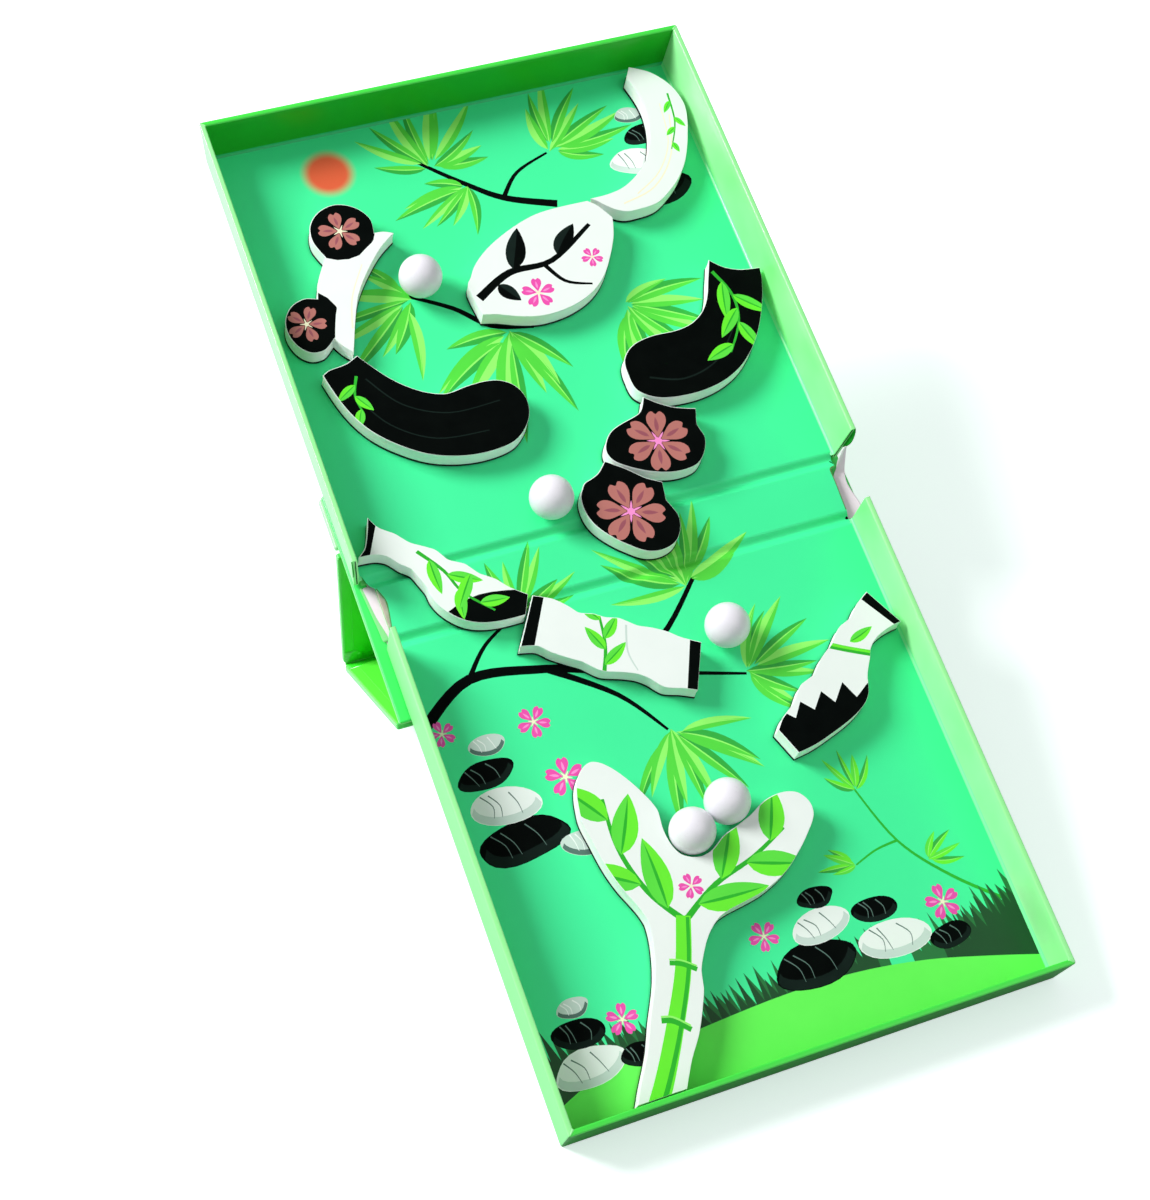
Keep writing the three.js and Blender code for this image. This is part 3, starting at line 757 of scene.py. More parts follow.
def corner_fold(name, x, y, across, up, height, body):
    """The small pinched fold of the wrap across a tray's rim corner, as a low ridge on the mitre."""
    points, steps = [], 6
    for k in range(steps + 1):
        share = k / steps
        reach, lift, half = 0.45 + 1.75 * share, 0.14 * math.sin(math.pi * share), 0.12 + 0.26 * share
        middle = (x + across * reach, y + up * reach)
        for side, rise in ((-1, 0.0), (-0.4, 1.0), (0.4, 1.0), (1, 0.0)):
            points.append((middle[0] - side * half * up, middle[1] + side * half * across, height - 0.03 + rise * lift))
    made = mesh_object(name, points, grid_faces(steps, 3, across * up < 0), body, [side_rim], smooth=True)
    edit = bmesh.new()
    edit.from_mesh(made.data)
    bmesh.ops.recalc_face_normals(edit, faces=edit.faces)
    if sum(f.normal.dot(OUTWARD) for f in edit.faces) < 0:
        bmesh.ops.reverse_faces(edit, faces=edit.faces)
    edit.to_mesh(made.data)
    edit.free()
    thicken(made, 0.2)


for side, x, lower_x in (("left", 0.0, NEST), ("right", LID_WIDTH, LID_WIDTH - NEST)):
    inwards = 1 if side == "left" else -1
    corner_fold(f"lid_{side}_corner_fold", x, LENGTH, inwards, -1, LID_WALL, "lid")
    corner_fold(f"base_{side}_corner_fold", lower_x, 0.0, inwards, 1, BASE_WALL, "base")


# %% [markdown]
# ### The open ends of the walls
# At the fold the walls just stop. The end shows a dark slit between its two boards, and
# the outer paper stands off a little as a loose tongue. Both are modelled: a dark line
# painted on the end would stay flat when it is seen from the side. The slit is a thin box
# of nearly black paint: painted shade for the unlit gap between the boards.

# %% Slits and tongues
def wall_end(name, side, edge_x, y, out_y, height, lean, body, flap, stands):
    """The open end of a wall. Flap is the share of the height that the tongue takes, stands its reach in mm."""
    def at(d, z):
        return edge_x - side * (d + lean * (height - z))

    # The slit is a nearly black box: painted shade in the gap between the boards.
    slit = [(at(1.05, z), y + out_y * 0.04, z) for z in (1.0, height - 0.9)]
    slit += [(at(1.45, z), y + out_y * 0.04, z) for z in (height - 0.9, 1.0)]
    slit += [(x, y - out_y * 0.3, z) for x, _, z in slit]
    box = [[0, 1, 2, 3], [7, 6, 5, 4], [0, 4, 5, 1], [1, 5, 6, 2], [2, 6, 7, 3], [3, 7, 4, 0]]
    mesh_object(f"{name}_slit", slit, box, body, [painted_slit_shade])
    rows = []
    for k in range(13):
        share = k / 12
        z = height - 0.4 - share * (height - 0.4) * flap
        reach = 0.15 + stands * math.sin(math.pi * min(1.0, share * 1.02)) ** 0.7
        rows.append((z, reach))
    points = []
    for z, reach in rows:
        for k in range(4):
            forward = reach * k / 3
            points.append((at(0.12 - 0.12 * (k / 3) ** 2, z), y - out_y * 0.3 + out_y * (0.3 + forward), z))
    tongue = mesh_object(f"{name}_tongue", points, grid_faces(len(rows) - 1, 3), body, [shaded_cross_out],
                         smooth=True)
    thicken(tongue, 0.3)


for side, edge_x, lower_x in ((-1, 0.0, NEST), (1, LID_WIDTH, LID_WIDTH - NEST)):
    word = "left" if side < 0 else "right"
    wall_end(f"lid_{word}_end", side, edge_x, LID_OPEN_END, -1, LID_WALL, LID_LEAN, "lid", 0.62, 1.9)
    wall_end(f"base_{word}_end", side, lower_x, BASE_OPEN_END, 1, BASE_WALL, BASE_LEAN, "base", 0.16, 0.35)


# %% [markdown]
# ## The printed playing surface
# One printed picture runs over both trays and the spine: sprays of leaves on dark
# twigs, stones, blossoms, grass and a hill, in a layout made for this model. It is
# written once, in board millimetres, and each sheet below is cut from it, so motifs
# that cross a crease go on unbroken.

# %% The picture
def floor_picture():
    """All motifs of the playing surface, from back to front."""
    motifs = [("sun", disc(SUN_CENTRE, SUN_RADIUS + 0.5, points=40))]
    motifs += [("black", stroke([(82, 382), (96, 369), (110, 358), (130, 350)], 1.4, 3.4)),
               ("black", stroke([(110, 358), (119, 368), (134, 374)], 2.0, 0.9)),
               ("black", stroke([(58, 325), (74, 315), (86, 304), (102, 300)], 1.4, 3.0))]
    motifs += spray((86, 377), 80, 180, 11, 37, 5.6)
    motifs += spray((135, 374), 40, 150, 10, 35, 5.4)
    motifs += spray((98, 367), 212, 120, 7, 30, 5.0)
    motifs += spray((60, 323), 190, 165, 10, 36, 5.6)
    motifs += spray((92, 300), 250, 150, 11, 42, 6.2)
    motifs += spray((140, 300), 312, 150, 10, 36, 5.6)
    motifs += [("black", stroke([(9, 154), (30, 167), (58, 163), (84, 156), (104, 163), (124, 182)], 4.4, 1.6)),
               ("black", stroke([(58, 163), (80, 146), (93, 128)], 2.8, 1.0)),
               ("black", stroke([(84, 157), (104, 148), (129, 140)], 2.4, 1.0)),
               ("black", stroke([(30, 167), (40, 178), (54, 186)], 2.0, 0.8))]
    motifs += spray((120, 179), 95, 185, 12, 37, 5.6)
    motifs += spray((129, 141), 4, 160, 10, 33, 5.2)
    motifs += spray((94, 128), 285, 150, 10, 36, 5.4)
    motifs += spray((56, 186), 62, 150, 8, 27, 4.6)
    motifs += cairn([(172, 346, 15, 0.5, 6, "dark"), (169, 361, 12, 0.5, -7, "pale"), (176, 373, 9, 0.52, 9, "dark"),
                     (173, 383, 6.4, 0.56, -4, "grey")])
    motifs += cairn([(29, 104, 17, 0.46, 4, "dark"), (50, 97, 9, 0.55, -8, "grey"), (27, 118, 13.5, 0.5, -6, "pale"),
                     (24, 131, 10.5, 0.52, 7, "dark"), (28, 141.5, 7, 0.56, 0, "grey")])
    motifs += blossom((51, 122), 7.4, 5, 12) + blossom((47, 145), 6.2, 5, 50) + blossom((14, 150), 5.0, 5, 30)
    motifs += [("leaf_dark", stroke([(190, 30), (172, 46), (158, 64), (150, 88)], 1.4, 0.7))]
    motifs += spray((151, 86), 95, 130, 5, 17, 3.0, FRESH)
    motifs += spray((166, 54), 20, 110, 4, 15, 2.9, FRESH)
    motifs += spray((140, 60), 160, 90, 4, 16, 3.0, FRESH)
    motifs += [("leaf_dark", stroke([(158, 64), (149, 63), (140, 60)], 1.0, 0.6))]
    motifs += [("grass_mid", tufts(8, 60, 2, 28, -2)), ("grass", tufts(8, 50, 2, 31, -5)),
               ("grass_mid", tufts(58, 138, 2, 28, 3)), ("grass", tufts(62, 134, 2, 26, 4)),
               ("grass_mid", tufts(146, 193, 2, 25, 12)), ("grass", tufts(158, 193, 2, 23, 12))]
    hill_top = [(7, 11), (22, 17), (44, 20.5), (70, 23), (98, 24.5), (124, 24), (150, 20.5), (174, 14.5), (193, 9)]
    crest = [tuple(p) for p in smooth_line(hill_top, 4)]
    motifs += [("hill", crest + [(193, 1), (7, 1)])]
    motifs += cairn([(112, 31, 16, 0.5, 3, "dark"), (143, 31, 13.5, 0.52, -4, "pale"), (163, 26, 8, 0.56, 5, "dark"),
                     (119, 43.5, 11.5, 0.52, 7, "pale"), (140, 43, 8.6, 0.54, -5, "dark"),
                     (121, 53.5, 7, 0.55, 0, "dark")])
    motifs += cairn([(24, 22, 13, 0.52, 5, "pale"), (42, 21, 7.4, 0.55, -4, "dark"), (24, 34, 9.6, 0.54, -6, "dark"),
                     (25, 43, 6, 0.58, 4, "grey")])
    motifs += blossom((165, 38), 6.6, 5, 20) + blossom((40, 34), 5.8, 5, 5) + blossom((98, 46), 5.6, 5, 40)
    return motifs


PICTURE = floor_picture()
print("motifs on the playing surface:", len(PICTURE))

# %% [markdown]
# ### A printed sheet
# A printed sheet shows its picture and a thin edge, and its back is glued down. Solidify
# would double every triangle, so only the outline gets a rim: an edge that just one
# triangle uses lies on it.

# %% Printed sheets
PRINT_THICKNESS = 0.35


def near(motifs, low, high):
    """The motifs that reach into a band of the board."""
    return [m for m in motifs if min(p[1] for p in m[1]) < high and max(p[1] for p in m[1]) > low]


def printed_sheet(name, outline, body, low, high, lift=None, rows=()):
    """A sheet of the picture between two heights, with its edge. Lift is its height where it isn't flat."""
    points, faces, inks = inlay(outline, near(PICTURE, low, high), "mint", rows=rows)
    solid = [(x, y, FLOOR + (lift(x, y) if lift else 0.0)) for x, y in points]
    sides = {side: True for face in faces for side in zip(face, face[1:] + face[:1])}
    below = {}
    for a, b in sides:
        if (b, a) in sides:
            continue
        for corner in (a, b):
            if corner not in below:
                below[corner] = len(solid)
                x, y, z = solid[corner]
                solid.append((x, y, z - PRINT_THICKNESS))
        faces.append([b, a, below[a], below[b]])
        inks.append(INK_NAMES.index("mint"))
    return tell(mesh_object(name, solid, faces, body, INK_MATERIALS, face_materials=inks))


# %% [markdown]
# ### The sheets of both trays and the spine
# All three could be one sheet, but the box folds between them, so each board carries
# its own. A tray's sheet ends in the cove of its walls, whose lean gives the place. The
# spine's has uneven ends, with a thin darker line along their cut.

# %% The flat sheets
lid_in = WALL + LID_LEAN * (LID_WALL - FLOOR) + 0.6
base_end = WALL + BASE_LEAN * (BASE_WALL - FLOOR) + 0.6
base_in = NEST + base_end
lid_low = UPPER_CREASE + CREASE
base_high = LOWER_CREASE - CREASE
lid_corners = [(lid_in, lid_low), (LID_WIDTH - lid_in, lid_low), (LID_WIDTH - lid_in, LENGTH - lid_in),
               (lid_in, LENGTH - lid_in)]
lid_sheet = printed_sheet("lid_printed_sheet", lid_corners, "lid", lid_low, LENGTH)
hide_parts("lid_floor_print")
base_corners = [(base_in, base_end), (LID_WIDTH - base_in, base_end), (LID_WIDTH - base_in, base_high),
                (base_in, base_high)]
base_sheet = printed_sheet("base_printed_sheet", base_corners, "base", 0, base_high)
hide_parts("base_floor_print")
spine_low = LOWER_CREASE + CREASE
spine_high = UPPER_CREASE - CREASE
SPINE_RIGHT = [(191.6, spine_low), (191.8, 196.3), (192.0, 200.9), (192.15, 205.4), (192.25, 209.4),
               (194.2, spine_high)]
SPINE_LEFT = [(8.8, spine_high), (10.7, 205.2), (10.6, 201.5), (9.6, 195.0), (8.9, spine_low)]
# The black disc and the short black stroke at the creases' right ends, by the walls' open ends, are painted shade.
PICTURE += [("olive", stroke(SPINE_RIGHT, 0.7)), ("olive", stroke(SPINE_LEFT, 0.7)),
            ("black", disc((191.0, 188.9), 0.6, points=10)), ("black", stroke([(193.9, 213.4), (194.5, 211.6)], 0.5))]
spine_sheet = printed_sheet("spine_printed_sheet", SPINE_RIGHT + SPINE_LEFT, "spine", spine_low, spine_high)
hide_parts("spine_print")

# %% [markdown]
# ### The creases
# Where the board folds, the print is pressed into a soft valley. It is a strip of its own
# between the two boards, attached to neither. Extra rows are cut along it for the valley
# to follow, and its depth wanders a little.

# %% The creased strips
CREASE_DEPTH = 1.75
CREASE_ROWS = 14


def crease_strip(name, low, high, left, right):
    """A narrow strip of the print pressed into a soft valley between two boards."""
    middle = (low + high) / 2
    rows = [low + (high - low) * k / CREASE_ROWS for k in range(1, CREASE_ROWS)]

    def dip(x, y):
        wander = 1 + 0.07 * math.sin(x * 0.21) + 0.05 * math.sin(x * 0.67 + 1.3)
        return -CREASE_DEPTH * wander * (0.5 + 0.5 * math.cos(2 * math.pi * (y - middle) / (high - low)))

    corners = [(left[0], low), (right[0], low), (right[1], high), (left[1], high)]
    made = printed_sheet(name, corners, None, low, high, dip, rows)
    crisp(made, 50)
    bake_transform(made)


crease_strip("lower_crease_strip", base_high, spine_low, (base_in, 8.9), (LID_WIDTH - base_in, 191.6))
crease_strip("upper_crease_strip", spine_high, lid_low, (8.8, lid_in + 0.6), (194.2, LID_WIDTH - lid_in - 0.2))


# %% [markdown]
# ## Loose sheets at the ends of the fold
# The white back of the cover shows beyond the spine's print. On the right it curls up
# against the open end of the wall, and on the left a turned edge of mint paper lines
# it. A cloth simulation could curl it, but the shape is small and known, so its rows
# are written down and a Subdivision Surface smooths them.

# %% The cover's loose ends
def loose_sheet(name, rows, material):
    """A thin sheet from rows of y, z and the places across the board where it starts and stops."""
    points, across = [], 4
    for y, z, a, b in rows:
        for k in range(across + 1):
            share = k / across
            points.append((a + (b - a) * share, y - (0.5 if z > 0.5 else 0) * math.sin(math.pi * share), z))
    made = mesh_object(name, points, grid_faces(len(rows) - 1, across), None, [material], smooth=True)
    smooth = made.modifiers.new("smooth", "SUBSURF")
    smooth.levels = smooth.render_levels = 2
    thicken(made, 0.2)
    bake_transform(made)


RIGHT_ROWS = [(188.8, -0.12, 190.6, 199.0), (191.6, -0.12, 190.8, 199.3), (194.2, -0.12, 191.0, 199.4),
              (197.0, -0.12, 191.4, 198.7), (200.5, -0.12, 191.8, 198.0), (203.9, -0.12, 192.2, 197.6),
              (206.4, -0.05, 192.8, 198.1), (208.4, 0.15, 194.0, 198.6), (209.2, 0.9, 194.9, 198.7),
              (209.9, 1.9, 195.3, 198.8), (211.2, 4.2, 195.4, 198.9), (212.3, 6.3, 196.4, 199.0),
              (213.4, 8.6, 197.3, 199.0), (214.1, 10.8, 198.1, 199.0)]
loose_sheet("right_cover_curl", RIGHT_ROWS, gusset_paper)
LEFT_EDGE = [(190.6, 7.8), (194.2, 7.3), (197.0, 6.6), (200.6, 5.8), (204.0, 5.4), (207.3, 5.1), (210.6, 4.7),
             (213.2, 4.4)]
TURNED_WIDTHS = (2.3, 1.9, 1.35, 0.95, 0.8, 0.75, 0.7, 0.6)
loose_sheet("left_cover_end", [(y, -0.12, x, 11.6) for y, x in LEFT_EDGE], gusset_paper)
loose_sheet("left_turned_edge", [(y, -0.06, x - width, x + 0.25) for (y, x), width in zip(LEFT_EDGE, TURNED_WIDTHS)],
            edge_paper)


# %% [markdown]
# ## The easel
# A plate lies behind the spine. A tab, a leg and a foot, all of wrapped board, make
# the triangle that the board stands on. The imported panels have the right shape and
# only their edges are too sharp, so each is copied, merged and bevelled to the radius of
# paper round a board, and each side takes its own paper.

# %% Wrapped panels
PANEL_EDGE = 0.9  # the radius of the wrap round a panel's edge


def rounded(made, width, segments=3):
    """Rounds the sharp edges by a width in millimetres."""
    bevel = made.modifiers.new("edge", "BEVEL")
    bevel.width = width * MM
    bevel.segments = segments
    bevel.limit_method = "ANGLE"
    bevel.angle_limit = math.radians(30)
    bevel.harden_normals = True
    made.data.shade_smooth()
    apply_modifiers(made)
    return made


def dressed(node, name, body, materials, width, pick=None):
    """A copy of a flat CAD panel with soft paper edges, and a material for each side."""
    source = frame["nodes"][node]
    made = bpy.data.objects.new(name, source.data.copy())
    bpy.context.scene.collection.objects.link(made)
    made.data.materials.clear()
    for material in materials:
        made.data.materials.append(material)
    edit = bmesh.new()
    edit.from_mesh(made.data)
    bmesh.ops.remove_doubles(edit, verts=edit.verts, dist=1e-6)
    bmesh.ops.dissolve_limit(edit, angle_limit=0.01, verts=edit.verts, edges=edit.edges)
    for face in edit.faces:
        face.material_index = pick(TO_BOARD.to_3x3().normalized() @ face.normal) if pick else 0
    edit.to_mesh(made.data)
    edit.free()
    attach(made, body)
    rounded(made, width)
    tell(made)
    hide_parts(node)


def big_face(normal):
    """0 for the face that looks up the board, 1 for the one that looks down it, 2 for the panel's ends."""
    if abs(normal.x) > 0.7:
        return 2
    return 0 if normal.z * 0.35 + normal.y > 0 else 1


def plate_face(normal):
    """0 for the front, 1 for the back, 2 for the pale sides and 3 for the lower end."""
    if abs(normal.z) > 0.7:
        return 0 if normal.z > 0 else 1
    return 3 if normal.y < -0.7 else 2


dressed("stand_plate", "easel_plate", "stand", [plate_front, back_wrap, edge_paper, leg_paper],
        PANEL_EDGE, plate_face)
dressed("stand_tab", "easel_tab", "stand", [tab_paper], PANEL_EDGE)
dressed("leg_panel", "easel_leg", "leg", [back_wrap, leg_paper, edge_paper], PANEL_EDGE, big_face)
dressed("foot_panel", "easel_foot", "foot", [foot_paper, back_wrap, edge_paper], PANEL_EDGE, big_face)

# %% [markdown]
# ### Linings
# On a wrapped panel the turned edges of the wrap end in a ragged line, and a lining is
# glued over it. It is a plain sheet with rounded corners and a real thickness, so its
# edge draws the fine line that shows on such boxes.

# %% Linings
LINING_THICKNESS = 0.16
LINING_CORNER = 5.0
CORNER_ARC = 6  # steps round a lining's corner


def lining(name, low, high, left, right, body, material):
    """The thin sheet glued over a wrapped panel's turned edges: low and high are its ends, as y and z."""
    run = Vector((0, high[0] - low[0], high[1] - low[1])).normalized()
    out = Vector((1, 0, 0)).cross(run)
    corners = [(left, low, 1, 1), (right, low, -1, 1), (right, high, -1, -1), (left, high, 1, -1)]
    outline = []
    for x, (y, z), across, along in corners:
        for k in range(CORNER_ARC + 1):
            angle = math.pi / 2 * (k if across * along < 0 else CORNER_ARC - k) / CORNER_ARC
            reach = LINING_CORNER * (1 - math.sin(angle)), LINING_CORNER * (1 - math.cos(angle))
            outline.append(Vector((x + across * reach[0], y, z)) + run * along * reach[1])
    points = outline + [p + out * LINING_THICKNESS for p in outline]
    count = len(outline)
    faces = [list(range(count))[::-1], [count + i for i in range(count)]]
    faces += [[i, (i + 1) % count, count + (i + 1) % count, count + i] for i in range(count)]
    made = mesh_object(name, points, faces, body, [material])
    return tell(rounded(made, 0.06, 1))


# %% [markdown]
# ### Paper hinges
# The easel has no pins: its panels hang on the paper that runs from one to the next. Each
# paper is a narrow grid that runs across the fold, attached to no body.

# %% Paper hinges
STRIP_COLUMNS = 24


def strip_points(path, left, right):
    """Points of a strip across the board, for a path of y and z."""
    return [(left + (right - left) * i / STRIP_COLUMNS, y, z) for y, z in path for i in range(STRIP_COLUMNS + 1)]


def hinge_tape():
    """The paper that runs from the tab over the hinge and down the leg."""
    path = [(241.5, -6.72), (238.0, -6.76), (235.0, -6.82), (233.4, -6.95), (232.6, -7.3), (232.15, -8.3),
            (231.2, -11.4), (229.9, -15.7)]
    faces = grid_faces(len(path) - 1, STRIP_COLUMNS, flip=True)
    made = mesh_object("hinge_tape", strip_points(path, 2.6, 197.4), faces, None, [back_wrap],
                       smooth=True)
    thicken(made, 0.22, 1)
    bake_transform(made)


def fold_paper():
    """The wrapping paper that runs on from the leg's inner face to the foot's, and so makes their hinge."""
    leg_end, foot_end = Vector((0, 211.07, -65.77)), Vector((0, 210.53, -65.87))
    leg_run, foot_run = Vector((0, 0.2953, 0.9554)), Vector((0, -0.6236, 0.7818))
    into_leg, into_foot = Vector((0, -0.9554, 0.2953)), Vector((0, 0.7818, 0.6236))
    reaches = (6.5, 4.5, 2.6, 1.3, 0.4)
    path = [leg_end + leg_run * reach + into_leg * 0.03 for reach in reaches]
    path += [Vector((0, 210.87, -66.12))]
    path += [foot_end + foot_run * reach + into_foot * 0.03 for reach in reversed(reaches)]
    points = strip_points([(place.y, place.z) for place in path], 1.3, 198.7)
    faces = grid_faces(len(path) - 1, STRIP_COLUMNS)
    picks = [0 if j < len(reaches) else 1 for j in range(len(path) - 1) for _ in range(STRIP_COLUMNS)]
    made = mesh_object("easel_fold_paper", points, faces, None, [leg_paper, foot_paper], picks)
    thicken(made, 0.1, 1)
    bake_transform(made)


hinge_tape()
fold_paper()

# %% [markdown]
# ### Where the linings lie
# Each line gives a sheet's two ends, as y and z on the panel's face, and its left and
# right edge. An inset of the panel's face would be quicker, but would make all margins
# alike. The white liner lies on the easel's plate, and shows at both ends of the fold.
# The trays' boards, the spine's board and the steel under the prints are dressed as
# the easel's panels are.

# %% Linings, boards and steel in place
lining("leg_outer_lining", (228.6, -19.2), (215.1, -62.9), 5.0, 195.0, "leg", back_wrap)
lining("leg_inner_lining", (212.3, -61.8), (228.2, -10.3), 5.0, 195.0, "leg", leg_paper)
lining("foot_inner_lining", (163.9, -7.4), (207.7, -62.3), 5.0, 195.0, "foot", foot_paper)
lining("foot_outer_lining", (205.1, -63.9), (161.8, -9.6), 5.0, 195.0, "foot", back_wrap)
lining("lid_back_lining", (401.5, 0.0), (217.5, 0.0), 7.0, 193.0, "lid", back_wrap)
lining("base_back_lining", (184.5, 0.0), (5.0, 0.0), 10.5, 189.5, "base", back_wrap)
liner = lining("easel_liner", (161.3, -0.62), (251.7, -0.62), 6.8, 193.2, "stand", gusset_paper)
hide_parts("stand_plate_liner")
dressed("lid_floor_board", "lid_back_board", "lid", [back_wrap], 0.3)
dressed("base_floor_board", "base_back_board", "base", [back_wrap], 0.3)
dressed("spine_wrap", "spine_back_paper", "spine", [back_wrap], 0.08)
dressed("spine_board", "spine_grey_board", "spine", [board_edge], 0.15)
for node in ("lid_steel_sheet", "base_steel_sheet"):
    dressed(node, node.replace("sheet", "layer"), node.split("_")[0], [steel], 0.05)


# %% [markdown]
# ## Channel pieces
# Each piece is a black magnet sheet, a die-cut foam body and a printed card, all of one
# outline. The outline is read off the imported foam, so that the two can't drift apart.
# It is coarse there, and a Subdivision Surface would melt its points, so more points are
# put on its smooth runs, and each corner sharper than a set angle is kept.

# %% The outline of a piece
PIECE_LOW = 3.3  # the heights of a piece's underside and of its card's face
PIECE_HIGH = 11.3
CORNER_ANGLE = 38  # degrees


def cad_outline(node):
    """The outline of a packed slab's top face, in board millimetres, counter-clockwise."""
    edit = bmesh.new()
    edit.from_mesh(frame["nodes"][node].data)
    bmesh.ops.remove_doubles(edit, verts=edit.verts, dist=1e-6)
    top = [f for f in edit.faces if f.normal.dot(OUTWARD) > 0.9]
    follow = {}
    for face in top:
        for loop in face.loops:
            if not any(f in top for f in loop.edge.link_faces if f is not face):
                follow[loop.vert.index] = loop.link_loop_next.vert.index
    places = {v.index: (TO_BOARD @ v.co).to_2d() for v in edit.verts}
    edit.free()
    first = next(iter(follow))
    found, at = [], first
    while True:
        found.append(places[at])
        at = follow[at]
        if at == first:
            return found


def smooth_outline(points, steps):
    """More points on a closed outline: smooth runs stay smooth and sharp corners stay sharp."""
    count = len(points)

    def corner(i):
        before, here, after = points[i - 1], points[i], points[(i + 1) % count]
        return math.degrees((here - before).angle(after - here)) > CORNER_ANGLE

    sharp = [corner(i) for i in range(count)]
    found = []
    for i in range(count):
        b, c = points[i], points[(i + 1) % count]
        a = b if sharp[i] else points[i - 1]
        d = c if sharp[(i + 1) % count] else points[(i + 2) % count]
        found += [between(a, b, c, d, k / steps) for k in range(steps)]
    return found


# %% [markdown]
# ### The sides of a piece
# A die presses foam as it cuts, so its sides are faintly hollow and its edges turn in.
# A plain extrusion would look like a block. The side is built of rings of the outline,
# each at its own height and a hair smaller or larger, and the magnet sheet and the
# card's edge are made the same way.

# %% Rings of an outline
def inset(points, amount):
    """The outline moved inwards."""
    found, count = [], len(points)
    for i in range(count):
        before, here, after = points[i - 1], points[i], points[(i + 1) % count]
        run_a, run_b = (here - before).normalized(), (after - here).normalized()
        side = Vector((-run_a.y - run_b.y, run_a.x + run_b.x))
        side = side.normalized() if side.length > 1e-6 else Vector((-run_a.y, run_a.x))
        stretch = min(1 / max(side.dot(Vector((-run_a.y, run_a.x))), 0.5), 1.6)
        found.append(here + side * amount * stretch)
    return found


def band(name, outline, levels, body, material):
    """The side of a piece: rings of the outline at given heights and insets, closed below and above."""
    count = len(outline)
    points, faces = [], []
    for height, shrink in levels:
        points += [(p.x, p.y, height) for p in (inset(outline, shrink) if shrink else outline)]
    for level in range(len(levels) - 1):
        for i in range(count):
            a, b = level * count + i, level * count + (i + 1) % count
            faces.append([a, b, b + count, a + count])
    faces.append(list(range(count))[::-1])
    faces.append([(len(levels) - 1) * count + i for i in range(count)])
    made = mesh_object(name, points, faces, body, [material])
    crisp(made, 40)
    return made


# %% [markdown]
# ### The pieces' pictures
# Each card is black or white with its own motifs, in the same inks and shapes as the
# playing surface, laid out for this model. Cards cut from the surface's own picture
# would vanish into it, so each has one of its own. The places are board millimetres, so
# a motif is put where the piece lies.

